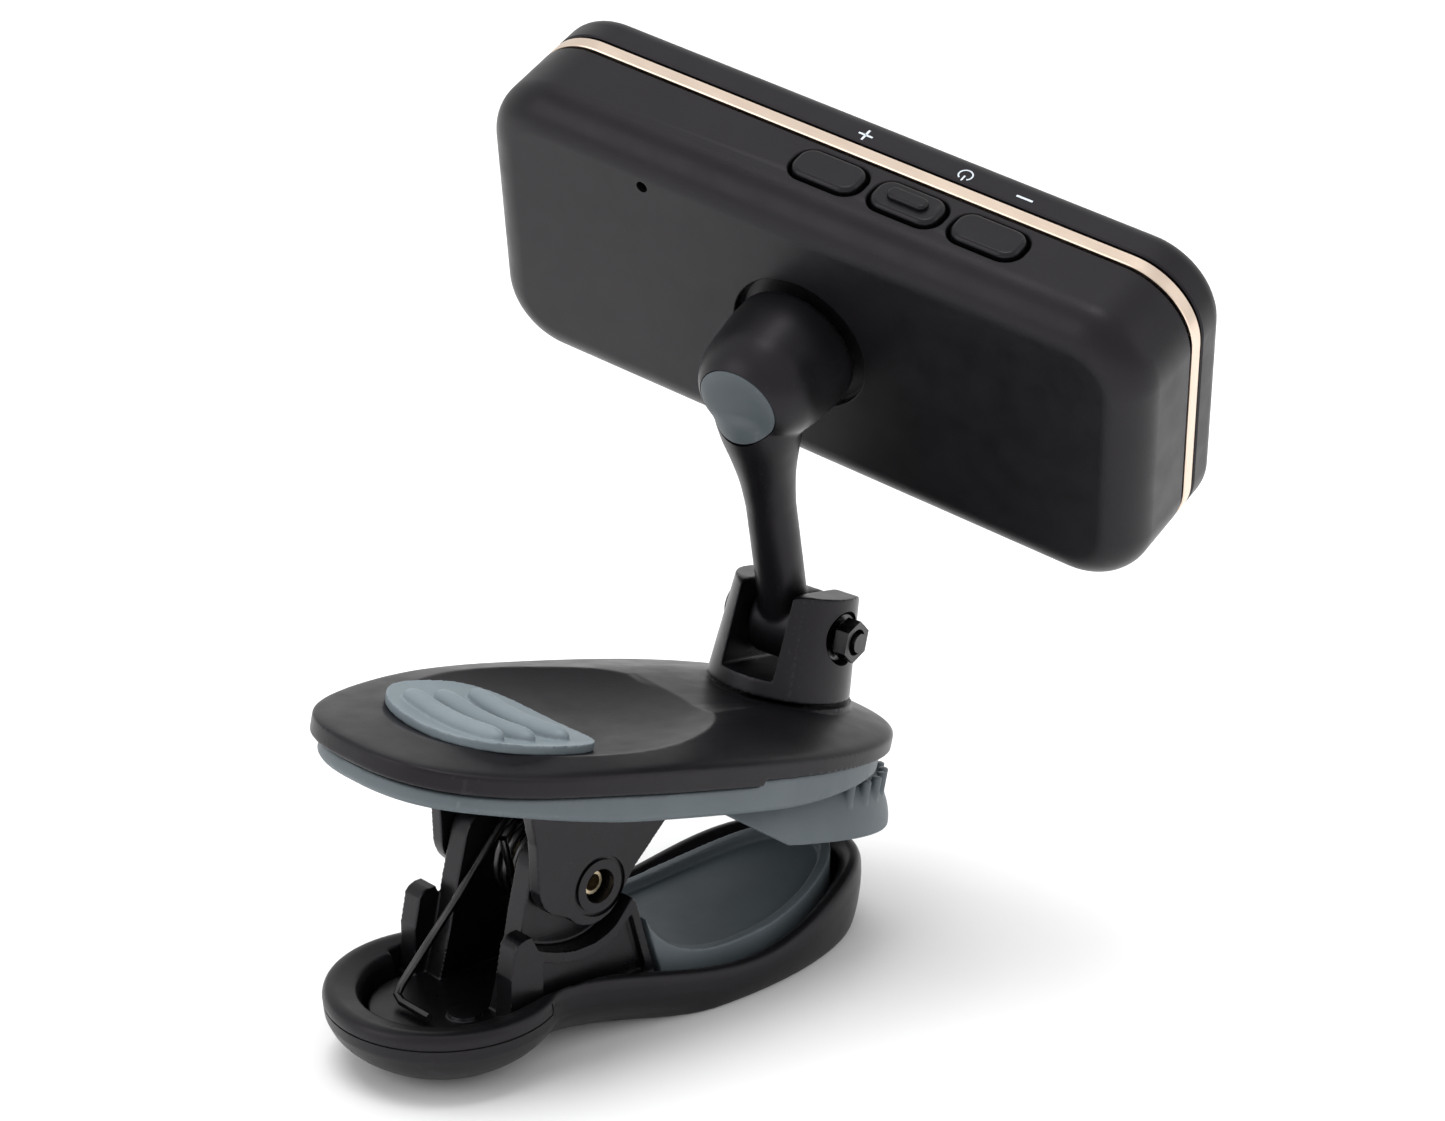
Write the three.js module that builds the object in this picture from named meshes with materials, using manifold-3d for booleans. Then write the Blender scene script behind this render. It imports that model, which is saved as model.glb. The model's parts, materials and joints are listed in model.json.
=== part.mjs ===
// Clip-on tuner: a display head on a ball-jointed arm, on a swivelling turret, on a sprung clip.
// Millimetres, +Z up. The origin is the middle of the flat rest face under the clip's handle end,
// +X runs along the clip from the handle to the jaws, and the clip is symmetric about y = 0.
import * as THREE from 'three';
import { mergeVertices } from 'three/addons/utils/BufferGeometryUtils.js';
import Module from 'manifold-3d';

const wasm = await Module();
wasm.setup();

// ---------- driving dimensions ----------
const GAP = 0.3;                          // clearance left between separate pieces
const DEG = Math.PI / 180;

// where the groups sit, each in the frame of the one before it
const PIVOT = { x: 10.4, z: 13.1 };       // clip pivot, above the rest face
const LEVER_TILT = 14.1;                  // the upper lever slopes down to the jaws
const TURRET = { x: 21.9, z: 13.0 };      // foot of the turret on the lever, from the pivot
const TURRET_TURN = -77;                  // the arm's hinge axis, turned from the lever's length
const HINGE_HEIGHT = 5.6;                 // above the turret's foot
const ARM_LEAN = 26.5;
const ARM_LENGTH = 23.1;                  // hinge to ball centre
const BARREL_RISE = 7.8;                  // the socket barrel points a little above square
const HEAD_ROLL = 8.8;

// display head; depths are measured forward from its back face
const HEAD = { w: 60, h: 26.75, d: 12.94, corner: 5.96, backEdge: 3.2, frontEdge: 1.7, wall: 1.5 };
const BALL_TO_BACK = 4.35;
const BAND = { from: 7.93, to: 9.39, wall: 1.6 };
const WINDOW = { w: 51, h: 20.5, corner: 1.5, thick: 1.1 };
const BOARD = { w: 54, h: 20.4, from: 7.2, to: 8.2 };
const BUTTONS = { first: -0.4, pitch: 7.1, depth: 5.3, l: 5.9, w: 3.6, proud: 0.35 };
const RESET_HOLE = { x: -14.3, z: 9.5, r: 0.5 };
const SCREW_SPOTS = [[-24, -8.6], [24, -8.6]];
const DISH = { r: 6.3, deep: 0.95 };       // round recess in the back that the arm's bulb reaches into

// ball joint, arm and turret
const BALL_R = 3.4;
const STUD_R = 1.2;
const LINER = { outer: 4.05, inner: 3.65, half: 1.8 };
const BULB = { front: 4.2, bore: 4.3, floor: -2.1, plugR: 3.4, plugSeat: -3.85, squash: 0.02, lift: 0.07 };
const ROD_R = 2.0;
const STEM = { back: 0.6, lean: 2.5 };    // the rod stands behind the hinge and leans back from it
const EYE = { r: 3.1, half: 2.15 };
const EAR = { inner: 2.45, top: 8.8, seat: 4.2 };
const TURRET_R = 5.85;
const BOLT_R = 0.8;

// clip; lever heights are above the pivot, along the lever's own normal
const LEVER = {
  cx: 4.3, a: 26, b: 13.3, power: 2.45, part: 10.1, liner: 7.95, roof: 10.75,
  frameTop: 7.65, padTop: 7.65, stepX: 8.8, step: 0.5, bow: 0.8, sag: 0.9,
};
const JAW = { cx: 20.5, a: 12.9, b: 9.2, face: 2.9 };
const SCOOP = { x: -8, rx: 18, ry: 12.4, deep: 2.3 };
const THUMB = { x: -8.3, rx: 6.8, ry: 8.2, thick: 0.9, ribs: [-12, -8.9, -5.5] };
const CHEEK = { inner: 5.3, outer: 6.5 };
const SADDLE = { outer: 6.8, panel: 6.2 };
const UPRIGHT = { inner: 3.0, outer: 5.0 };
const CLIP = { handleR: 9.3, jawX: 14, jawHalf: 9.7, tipX: 31.3, wall: 3.0 };
const TRAY_FLOOR = 1.6;                   // inner floor of the lower shell, above the rest face
const FRAME_FLOOR = 4.2;
const POCKET = { from: -10.2, to: 5.9, half: 7.1, floor: 3.5 };   // room in the tray for the frame's walls
const PIN = { r: 1.1, bore: 0.7, half: 5.6 };
const SPRING = { r: 3.55, wire: 0.42, turns: 4, from: -2.2, to: 1.6 };

// ---------- solids ----------
// a closed three.js geometry as a manifold, with its corners shared and its faces pointing out
function solid(geometry) {
  const bare = geometry.index ? geometry.toNonIndexed() : geometry.clone();
  bare.deleteAttribute('normal');
  bare.deleteAttribute('uv');
  const merged = mergeVertices(bare, 1e-4);
  const points = merged.attributes.position.array;
  const index = merged.index.array;
  const faces = [];
  for (let i = 0; i < index.length; i += 3) {
    const [a, b, c] = [index[i], index[i + 1], index[i + 2]];
    if (a !== b && b !== c && c !== a) faces.push(a, b, c);
  }
  const corner = (i) => new THREE.Vector3().fromArray(points, 3 * i);
  let volume = 0;
  for (let i = 0; i < faces.length; i += 3) {
    volume += corner(faces[i]).dot(corner(faces[i + 1]).cross(corner(faces[i + 2])));
  }
  if (volume < 0) faces.reverse();
  return new wasm.Manifold(new wasm.Mesh({
    numProp: 3, vertProperties: new Float32Array(points), triVerts: new Uint32Array(faces),
  }));
}

function geometryOf(manifold) {
  const mesh = manifold.getMesh();
  const geometry = new THREE.BufferGeometry();
  geometry.setAttribute('position', new THREE.BufferAttribute(mesh.vertProperties, 3));
  geometry.setIndex(new THREE.BufferAttribute(mesh.triVerts, 1));
  geometry.computeVertexNormals();
  return geometry;
}

const join = (first, ...rest) => rest.reduce((sum, piece) => sum.add(piece), first);
const cut = (first, ...rest) => rest.reduce((left, piece) => left.subtract(piece), first);

function box(x0, x1, y0, y1, z0, z1) {
  const geometry = new THREE.BoxGeometry(x1 - x0, y1 - y0, z1 - z0);
  return solid(geometry.translate((x0 + x1) / 2, (y0 + y1) / 2, (z0 + z1) / 2));
}

// a disc or rod along 'x', 'y' or 'z' between two stations on that axis
function rod(axis, from, to, radius, at = [0, 0, 0], segments = 28, endRadius = radius) {
  const geometry = new THREE.CylinderGeometry(endRadius, radius, to - from, segments);
  geometry.translate(0, (from + to) / 2, 0);
  if (axis === 'x') geometry.rotateZ(-Math.PI / 2);
  if (axis === 'z') geometry.rotateX(Math.PI / 2);
  return solid(geometry.translate(...at));
}

// a shape of revolution from [radius, station] pairs, about y
function lathe(profile, segments = 32) {
  return new THREE.LatheGeometry(profile.map(([r, s]) => new THREE.Vector2(r, s)), segments);
}

// an outline in x, y raised from z0 to z1; `high` and `wide` are the height and width of its edge rounding
function extruded(outline, z0, z1, high = 0, wide = high, steps = 3) {
  const shape = outline instanceof THREE.Shape ? outline : new THREE.Shape(outline);
  const geometry = new THREE.ExtrudeGeometry(shape, {
    depth: z1 - z0 - 2 * high, bevelEnabled: high > 0, bevelThickness: high, bevelSize: wide,
    bevelOffset: -wide, bevelSegments: steps, curveSegments: 4, steps: 1,
  });
  return geometry.translate(0, 0, z0 + high);
}

const slab = (...size) => solid(extruded(...size));

// the same, standing: the outline is in x, z and runs from y0 to y1
function standing(outline, y0, y1, high = 0, wide = high, steps = 3) {
  return solid(extruded(outline, -y1, -y0, high, wide, steps).rotateX(Math.PI / 2));
}

// a body skinned over rings of equal point count, closed at each end on the ring's middle
function skinned(rings) {
  const count = rings[0].length;
  const middle = (ring) => ring.reduce((sum, p) => sum.add(p), new THREE.Vector3()).divideScalar(count);
  const points = [middle(rings[0]), ...rings.flat(), middle(rings.at(-1))];
  const at = (ring, i) => 1 + ring * count + (i % count);
  const faces = [];
  for (let i = 0; i < count; i += 1) {
    faces.push(0, at(0, i + 1), at(0, i));
    for (let r = 0; r + 1 < rings.length; r += 1) {
      faces.push(at(r, i), at(r, i + 1), at(r + 1, i + 1), at(r, i), at(r + 1, i + 1), at(r + 1, i));
    }
    faces.push(points.length - 1, at(rings.length - 1, i), at(rings.length - 1, i + 1));
  }
  const geometry = new THREE.BufferGeometry().setFromPoints(points);
  geometry.setIndex(faces);
  return solid(geometry);
}

// ---------- outlines ----------
function smooth(t) {
  const s = Math.min(1, Math.max(0, t));
  return s * s * (3 - 2 * s);
}

function roundedRectangle(w, h, r, cx = 0, cy = 0) {
  const shape = new THREE.Shape();
  const [x0, x1, y0, y1] = [cx - w / 2, cx + w / 2, cy - h / 2, cy + h / 2];
  shape.moveTo(x0 + r, y0).lineTo(x1 - r, y0).absarc(x1 - r, y0 + r, r, -Math.PI / 2, 0);
  shape.lineTo(x1, y1 - r).absarc(x1 - r, y1 - r, r, 0, Math.PI / 2);
  shape.lineTo(x0 + r, y1).absarc(x0 + r, y1 - r, r, Math.PI / 2, Math.PI);
  shape.lineTo(x0, y0 + r).absarc(x0 + r, y0 + r, r, Math.PI, 1.5 * Math.PI);
  return shape;
}

function superellipse(cx, a, b, power, count = 44) {
  return Array.from({ length: count }, (_, i) => {
    const t = (2 * Math.PI * i) / count;
    const [c, s] = [Math.cos(t), Math.sin(t)];
    return new THREE.Vector2(cx + a * Math.sign(c) * Math.abs(c) ** (2 / power),
      b * Math.sign(s) * Math.abs(s) ** (2 / power));
  });
}

const leverOutline = (inset = 0) => superellipse(LEVER.cx, LEVER.a - inset, LEVER.b - inset, LEVER.power);

// the lower clip seen from above, from the pivot: a round handle lobe, a waist and a longer jaw lobe
function clipOutline() {
  const handleX = -PIVOT.x;
  const leave = 57 * DEG;                 // where the waist leaves the handle's circle
  const start = new THREE.Vector2(handleX + CLIP.handleR * Math.cos(leave), CLIP.handleR * Math.sin(leave));
  const waist = new THREE.CubicBezierCurve(start, new THREE.Vector2(start.x + 1.5, start.y - 1),
    new THREE.Vector2(5, CLIP.jawHalf), new THREE.Vector2(CLIP.jawX, CLIP.jawHalf));
  const upper = [];
  for (let i = 0; i < 9; i += 1) {
    const t = Math.PI + (leave - Math.PI) * (i / 9);
    upper.push(new THREE.Vector2(handleX + CLIP.handleR * Math.cos(t), CLIP.handleR * Math.sin(t)));
  }
  upper.push(...waist.getPoints(6));
  const reach = CLIP.tipX - CLIP.jawX;
  for (let i = 1; i <= 9; i += 1) {
    const t = (Math.PI / 2) * (1 - i / 9);
    const [x, y] = [CLIP.jawX + reach * Math.cos(t) ** 0.92, CLIP.jawHalf * Math.sin(t) ** 0.92];
    upper.push(new THREE.Vector2(x, y));
  }
  const lower = upper.slice(1, -1).reverse().map((p) => new THREE.Vector2(p.x, -p.y));
  return [...upper, ...lower].reverse();
}

// every point of a closed outline moved square inward
function inset(outline, distance) {
  return outline.map((p, i) => {
    const before = outline.at(i - 1);
    const after = outline[(i + 1) % outline.length];
    const along = after.clone().sub(before).normalize();
    return new THREE.Vector2(p.x - along.y * distance, p.y + along.x * distance);
  });
}

// ---------- materials and the tree ----------
const finish = (color, roughness, metalness = 0) =>
  () => new THREE.MeshStandardMaterial({ color, roughness, metalness });
const softBlack = finish('#1b1a1c', 0.62);
const satinBlack = finish('#151517', 0.48);
const softGrey = finish('#606a70', 0.6);
const gold = finish('#e0cbb0', 0.3, 1);
const darkSteel = finish('#2c2b2b', 0.4, 1);
const steel = finish('#a7a49c', 0.3, 1);
const brass = finish('#c2a878', 0.3, 1);
const boardGreen = finish('#1f5a3a', 0.55);
const clear = finish('#20242a', 0.1);

function group(parent, position = [0, 0, 0], [rx, ry, rz] = [0, 0, 0]) {
  const made = new THREE.Group();
  made.position.set(...position);
  made.rotation.set(rx * DEG, ry * DEG, rz * DEG);
  parent.add(made);
  return made;
}

function part(parent, name, body, material) {
  const mesh = new THREE.Mesh(geometryOf(body), material());
  mesh.name = name;
  parent.add(mesh);
}

// ---------- display head: x along it, y forward from the ball centre, z up ----------
const deep = (depth) => BALL_TO_BACK + depth;
const headOutline = (margin = 0) =>
  roundedRectangle(HEAD.w - 2 * margin, HEAD.h - 2 * margin, HEAD.corner - margin);
const buttonX = (i) => BUTTONS.first + i * BUTTONS.pitch;
const topZ = HEAD.h / 2;

// a button's outline, as seen from above the head, grown by a margin
function buttonOutline(i, margin = 0) {
  return roundedRectangle(BUTTONS.l + 2 * margin, BUTTONS.w + 2 * margin, 1.5 + margin,
    buttonX(i), deep(BUTTONS.depth));
}

function headBackShell() {
  const end = BAND.from - GAP / 2;
  const edge = HEAD.backEdge;
  const outer = cut(standing(headOutline(), deep(0), deep(end + edge), edge, edge, 3),
    box(-HEAD.w, HEAD.w, deep(end), deep(2 * HEAD.d), -HEAD.h, HEAD.h));
  const bosses = SCREW_SPOTS.map(([x, z]) => rod('y', deep(1), deep(BOARD.from - GAP), 2.1, [x, 0, z], 16));
  const shell = join(cut(outer, standing(headOutline(HEAD.wall), deep(HEAD.wall), deep(HEAD.d), 1.2)),
    rod('y', deep(1.1), deep(3.1), 5), ...bosses);
  const openings = [0, 1, 2].map((i) => slab(buttonOutline(i, 0.25), topZ - 3, topZ + 1));
  const screwHoles = SCREW_SPOTS.map(([x, z]) => rod('y', deep(3), deep(HEAD.d), 0.8 + GAP, [x, 0, z], 16));
  const usb = solid(extruded(roundedRectangle(9.6, 3.8, 0.5), -4, 0)
    .rotateY(Math.PI / 2).translate(-HEAD.w / 2 + 3, deep(4.9), 0));
  return cut(shell, ...openings, ...screwHoles, usb,
    rod('y', deep(-1), deep(DISH.deep), DISH.r, [0, 0, 0], 36),
    rod('y', 0, deep(HEAD.d), STUD_R + GAP),
    rod('y', 0, deep(HEAD.d), RESET_HOLE.r, [RESET_HOLE.x, 0, RESET_HOLE.z], 16));
}

function headFrontShell() {
  const start = BAND.to + GAP / 2;
  const outer = cut(standing(headOutline(), deep(start - HEAD.frontEdge), deep(HEAD.d), HEAD.frontEdge),
    box(-HEAD.w, HEAD.w, 0, deep(start), -HEAD.h, HEAD.h));
  return cut(outer, standing(headOutline(HEAD.wall), deep(0), deep(HEAD.d - 1.3)),
    standing(roundedRectangle(WINDOW.w, WINDOW.h, WINDOW.corner), deep(0), deep(HEAD.d + 1)));
}

function trimBand() {
  const [from, to] = [deep(BAND.from + GAP / 2), deep(BAND.to - GAP / 2)];
  return cut(standing(headOutline(), from, to), standing(headOutline(BAND.wall), from - 1, to + 1));
}

function displayLens() {
  return standing(roundedRectangle(WINDOW.w - 2 * GAP, WINDOW.h - 2 * GAP, WINDOW.corner - GAP),
    deep(HEAD.d - 0.1 - WINDOW.thick), deep(HEAD.d - 0.1));
}

const displayModule = () =>
  standing(roundedRectangle(WINDOW.w + 1.5, WINDOW.h + 1, 1), deep(9.7), deep(11.3));

function circuitBoard() {
  const holes = SCREW_SPOTS.map(([x, z]) => rod('y', 0, deep(HEAD.d), 0.8 + GAP, [x, 0, z], 16));
  return cut(standing(roundedRectangle(BOARD.w, BOARD.h, 3), deep(BOARD.from), deep(BOARD.to)), ...holes);
}

const batteryCell = () => box(-21.5, -5.5, deep(2.2), deep(6.4), -9.5, 6.8);
const piezoSensor = () => rod('y', deep(1.9), deep(2.5), 5, [14, 0, -4]);

function boardScrew([x, z]) {
  return join(rod('y', deep(4), deep(8.6), 0.8, [x, 0, z], 12),
    rod('y', deep(8.5), deep(9.3), 1.5, [x, 0, z], 16));
}

// a tact switch on the board's rear face, with its plunger under a key
function keySwitch(i) {
  return join(box(buttonX(i) - 1.6, buttonX(i) + 1.6, deep(4.2), deep(BOARD.from - GAP), 8.4, 9.8),
    rod('z', 9.7, 10.5, 0.8, [buttonX(i), deep(BUTTONS.depth), 0], 16));
}

function resetSwitch() {
  const { x, z } = RESET_HOLE;
  return join(box(x - 1.3, x + 1.3, deep(5.2), deep(BOARD.from - GAP), z - 1.1, z + 1.1),
    rod('y', deep(4.6), deep(5.3), 0.5, [x, 0, z], 12));
}

// the key cap passes the top wall and has a flange inside; the middle one carries a raised bar
function keyCap(i) {
  const top = topZ + BUTTONS.proud;
  const cap = join(slab(buttonOutline(i), topZ - 2.1, top, 0.3, 0.3, 1),
    slab(buttonOutline(i, 0.5), topZ - 2.3, topZ - 1.9));
  if (i !== 1) return cap;
  const bar = roundedRectangle(3.3, 1.2, 0.59, buttonX(i), deep(BUTTONS.depth));
  return join(cap, slab(bar, top - 0.2, top + 0.25));
}

// charging socket: a flat tube open at the head's end, with a contact tongue
function usbSocket() {
  const x0 = -HEAD.w / 2 + 0.3;
  const [y0, y1] = [deep(3.3), deep(6.5)];
  const can = cut(box(x0, x0 + 6.6, y0, y1, -4.5, 4.5), box(x0 - 1, x0 + 6, y0 + 0.4, y1 - 0.4, -4.1, 4.1));
  return join(can, box(x0 + 1, x0 + 6.3, y0 + 1.25, y1 - 1.25, -3.2, 3.2));
}

// ball, neck, flange against the head's back and threaded shank
function ballStud() {
  const arc = [];
  for (let a = -90; a <= 60; a += 15) arc.push([BALL_R * Math.cos(a * DEG), BALL_R * Math.sin(a * DEG)]);
  arc[0][0] = 0;
  const flange = deep(DISH.deep) - GAP;
  return solid(lathe([...arc, [1.7, flange - 0.8], [2.6, flange - 0.8], [2.6, flange], [STUD_R, flange],
    [STUD_R, deep(6.2)], [0, deep(6.2)]], 24));
}

const studNut = () =>
  cut(rod('y', deep(3.4), deep(5.2), 2.7, [0, 0, 0], 6), rod('y', deep(3), deep(6), STUD_R + GAP));

function addHead(parent) {
  const head = group(parent, [0, 0, 0], [0, HEAD_ROLL, 0]);
  part(head, 'head_back_shell', headBackShell(), softBlack);
  part(head, 'head_front_shell', headFrontShell(), softBlack);
  part(head, 'trim_band', trimBand(), gold);
  part(head, 'display_lens', displayLens(), clear);
  part(head, 'display_module', displayModule(), satinBlack);
  part(head, 'circuit_board', circuitBoard(), boardGreen);
  part(head, 'battery_cell', batteryCell(), steel);
  part(head, 'piezo_sensor', piezoSensor(), brass);
  part(head, 'usb_socket', usbSocket(), steel);
  part(head, 'switch_reset', resetSwitch(), satinBlack);
  ['left', 'right'].forEach((side, i) => {
    part(head, `board_screw_${side}`, boardScrew(SCREW_SPOTS[i]), steel);
  });
  ['plus', 'menu', 'minus'].forEach((key, i) => {
    part(head, `switch_${key}`, keySwitch(i), satinBlack);
    part(head, `button_${key}`, keyCap(i), satinBlack);
  });
  part(head, 'ball_stud', ballStud(), darkSteel);
  part(head, 'stud_nut', studNut(), steel);
}

// ---------- arm: z from the hinge to the ball, barrel facing +y ----------
function socketLiner() {
  const hollow = [];
  const reach = Math.asin(LINER.half / LINER.inner);
  for (let i = 0; i <= 6; i += 1) {
    const a = reach * (1 - i / 3);
    hollow.push([LINER.inner * Math.cos(a), LINER.inner * Math.sin(a)]);
  }
  const [low, high] = [[LINER.outer, -LINER.half], [LINER.outer, LINER.half]];
  return solid(lathe([low, high, ...hollow, low]));
}

const barrelTurn = new THREE.Matrix4().makeRotationX(BARREL_RISE * DEG).setPosition(0, 0, ARM_LENGTH);

// the arm's outer form: an eye at the hinge, a rod that flares, and the bulb round the ball
// the bulb's rear narrows from below into an egg shape; y is along the barrel
function egged(geometry) {
  const at = geometry.attributes.position;
  for (let i = 0; i < at.count; i += 1) {
    const back = Math.max(0, -at.getY(i));
    at.setZ(i, at.getZ(i) * (1 - BULB.squash * back) + BULB.lift * back);
  }
  return solid(geometry.applyMatrix4(barrelTurn));
}

function armForm() {
  const bulb = lathe([[0, -4.75], [2.2, -4.6], [3.4, -4.2], [4.3, -3.2], [4.9, -1.7], [5.1, 0], [5.3, 2],
    [5.3, BULB.front - 0.3], [5, BULB.front], [0, BULB.front]], 36);
  const stem = lathe([[0, 0], [ROD_R, 0], [ROD_R, 12], [2.25, 14.6], [2.7, 16.8], [3.2, 18.8],
    [3.5, 20.6], [3.5, 22], [0, 22]], 28);
  const lean = Math.PI / 2 + STEM.lean * DEG;
  return join(egged(bulb), solid(stem.rotateX(lean).translate(0, -STEM.back, 0)),
    rod('x', -EYE.half, EYE.half, EYE.r));
}

// a bar along the barrel, behind the ball
const plugBar = (radius, seat) => egged(lathe([[0, -9], [radius, -9], [radius, seat], [0, seat]]));

function arm() {
  const bore = lathe([[0, -6], [2.95, -6], [2.95, BULB.floor],
    [BULB.bore, BULB.floor], [BULB.bore, 5], [0, 5]], 36);
  return cut(armForm(), solid(bore.applyMatrix4(barrelTurn)), plugBar(BULB.plugR + GAP / 2, BULB.plugSeat),
    rod('x', -5, 5, BOLT_R + GAP));
}

// a cap that fills the bulb's rear seat flush with the arm's surface, on a short stem
function armPlug() {
  const cap = armForm().intersect(plugBar(BULB.plugR, BULB.plugSeat - GAP / 2));
  const stem = lathe([[0, -4.2], [2.3, -4.2], [2.3, -3.75], [0, -3.75]], 24);
  return join(cap, solid(stem.applyMatrix4(barrelTurn)));
}

// ---------- turret: z from its foot on the lever, hinge along x ----------
function turret() {
  const side = new THREE.Shape();
  side.moveTo(-7, -4).lineTo(7, -4).lineTo(7, 0).lineTo(TURRET_R, 1.4).lineTo(3.5, 7.2);
  side.quadraticCurveTo(2.9, EAR.top, 1.4, EAR.top).lineTo(-3.2, EAR.top);
  side.quadraticCurveTo(-4.8, EAR.top, -5, 7.2);
  side.lineTo(-TURRET_R, 1.4).lineTo(-7, 0);
  const ears = solid(extruded(side, -8, 8).rotateX(Math.PI / 2).rotateZ(Math.PI / 2));
  const body = rod('z', GAP, EAR.top, TURRET_R, [0, 0, 0], 40, 5.05).intersect(ears);
  const stem = rod('z', -2.6, 1, 2.4, [0, 0, 0], 24);
  return cut(join(body, stem), box(-EAR.inner, EAR.inner, -9, 9, 1.7, 20),
    rod('x', -9, 9, BOLT_R + GAP, [0, 0, HINGE_HEIGHT]),
    rod('x', EAR.seat, 9, 2.2, [0, 0, HINGE_HEIGHT]), rod('x', -9, -EAR.seat, 2.0, [0, 0, HINGE_HEIGHT]),
    rod('z', -5, 0.9, 0.7 + GAP, [0, 0, 0], 16));
}

const turretWasher = () => cut(rod('z', -3.2, -2.9, 3.8), rod('z', -5, 0, 0.7 + GAP, [0, 0, 0], 16));
const turretScrew = () =>
  join(rod('z', -3.6, 0.6, 0.7, [0, 0, 0], 12), rod('z', -4.2, -3.5, 1.7, [0, 0, 0], 20));

function hingeBolt() {
  const seat = EAR.seat + GAP;
  return join(rod('x', -seat, 6.7, BOLT_R, [0, 0, 0], 16),
    rod('x', -seat - 0.9, -seat + 0.1, 1.6, [0, 0, 0], 20));
}

const hingeWasher = () => cut(rod('x', EAR.seat + GAP, EAR.seat + 0.7, 1.9), rod('x', 0, 9, BOLT_R + GAP));
const hingeNut = () =>
  cut(rod('x', EAR.seat + 1, EAR.seat + 2.2, 1.75, [0, 0, 0], 6), rod('x', 0, 9, BOLT_R + GAP));

function addTurretAndArm(lever) {
  const turretGroup = group(lever, [TURRET.x, 0, TURRET.z], [0, 0, TURRET_TURN]);
  part(turretGroup, 'turret', turret(), satinBlack);
  part(turretGroup, 'turret_washer', turretWasher(), steel);
  part(turretGroup, 'turret_screw', turretScrew(), steel);
  const hinge = group(turretGroup, [0, 0, HINGE_HEIGHT]);
  part(hinge, 'hinge_bolt', hingeBolt(), darkSteel);
  part(hinge, 'hinge_washer', hingeWasher(), darkSteel);
  part(hinge, 'hinge_nut', hingeNut(), darkSteel);
  const armGroup = group(hinge, [0, 0, 0], [ARM_LEAN, 0, 0]);
  part(armGroup, 'arm', arm(), softBlack);
  part(armGroup, 'arm_plug', armPlug(), softGrey);
  const barrel = group(armGroup, [0, 0, ARM_LENGTH], [BARREL_RISE, 0, 0]);
  part(barrel, 'socket_liner', socketLiner(), satinBlack);
  return barrel;
}

// ---------- upper lever: x along it from the pivot, z along its normal ----------
function dish(depth, rx, ry) {
  const r = ry;
  const sphere = (r * r + depth * depth) / (2 * depth);
  const profile = [];
  for (let i = 0; i <= 4; i += 1) {
    const s = (r * i) / 4;
    profile.push([s, sphere - depth - Math.sqrt(sphere * sphere - s * s)]);
  }
  return lathe([...profile, [r + 0.5, 3], [0, 3]], 32).rotateX(Math.PI / 2).scale(rx / ry, 1, 1);
}

function upperLeverShell() {
  const profile = [[0, LEVER.part], [0, 10.9], [0.2, 11.3], [0.7, 11.6],
    [1.5, 11.85], [3.5, 12.4], [6, 12.88], [8, TURRET.z]];
  const sag = (x) => LEVER.sag * smooth((2 - x) / 18);   // the handle end is thinner
  const block = skinned(profile.map(([inward, z]) => leverOutline(inward)
    .map((p) => new THREE.Vector3(p.x, p.y, z - Math.max(0, (z - 10.9) / 2.1) * sag(p.x)))));
  const seat = rod('z', 11, TURRET.z, TURRET_R + 0.2, [TURRET.x, 0, 0], 40);
  const underside = slab(leverOutline(1.6), 8, LEVER.roof).intersect(box(12, 40, -20, 20, 0, 20));
  return cut(join(block, seat), box(LEVER.stepX, 50, -20, 20, 0, LEVER.part + LEVER.step), underside,
    solid(dish(SCOOP.deep, SCOOP.rx, SCOOP.ry).translate(SCOOP.x, 0, TURRET.z)),
    rod('z', 8, 20, 2.4 + GAP, [TURRET.x, 0, 0]));
}

// an oval pad lying in the scoop, with three cross ribs
function thumbPad() {
  const above = (height) =>
    solid(dish(SCOOP.deep, SCOOP.rx, SCOOP.ry).translate(SCOOP.x, 0, TURRET.z + height));
  const oval = slab(superellipse(THUMB.x, THUMB.rx, THUMB.ry, 2.1, 28), 9, 16);
  const ribs = THUMB.ribs.map((x) => slab(roundedRectangle(1.2, 10.4, 0.59, x, 0), 9, 16));
  const pad = cut(oval.intersect(above(GAP)), above(GAP + THUMB.thick));
  const ridges = cut(join(...ribs).intersect(above(GAP + 0.2)), above(GAP + THUMB.thick + 0.5));
  return join(pad, ridges);
}

// the grey underside of the lever: its skirt is deepest amidships; a pocket takes the turret's screw
function upperLeverLiner() {
  const bottom = (x) => LEVER.liner - LEVER.bow * smooth((x + 17) / 14) * smooth((26 - x) / 14);
  const level = (inward, height) => leverOutline(inward).map((p) => new THREE.Vector3(p.x, p.y, height(p.x)));
  const top = LEVER.part - GAP;
  const plate = skinned([level(1.6, bottom), level(1.1, (x) => bottom(x) + 0.1),
    level(0.75, (x) => bottom(x) + 0.5), level(0.75, () => top)]);
  const step = slab(leverOutline(0.75), LEVER.part - 1, top + LEVER.step)
    .intersect(box(LEVER.stepX + GAP, 40, -20, 20, 0, 20));
  return cut(join(plate, step), slab(leverOutline(3), 5, LEVER.liner),
    rod('z', LEVER.liner + 0.55, 12, 4.1, [TURRET.x, 0, 0], 32));
}

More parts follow.
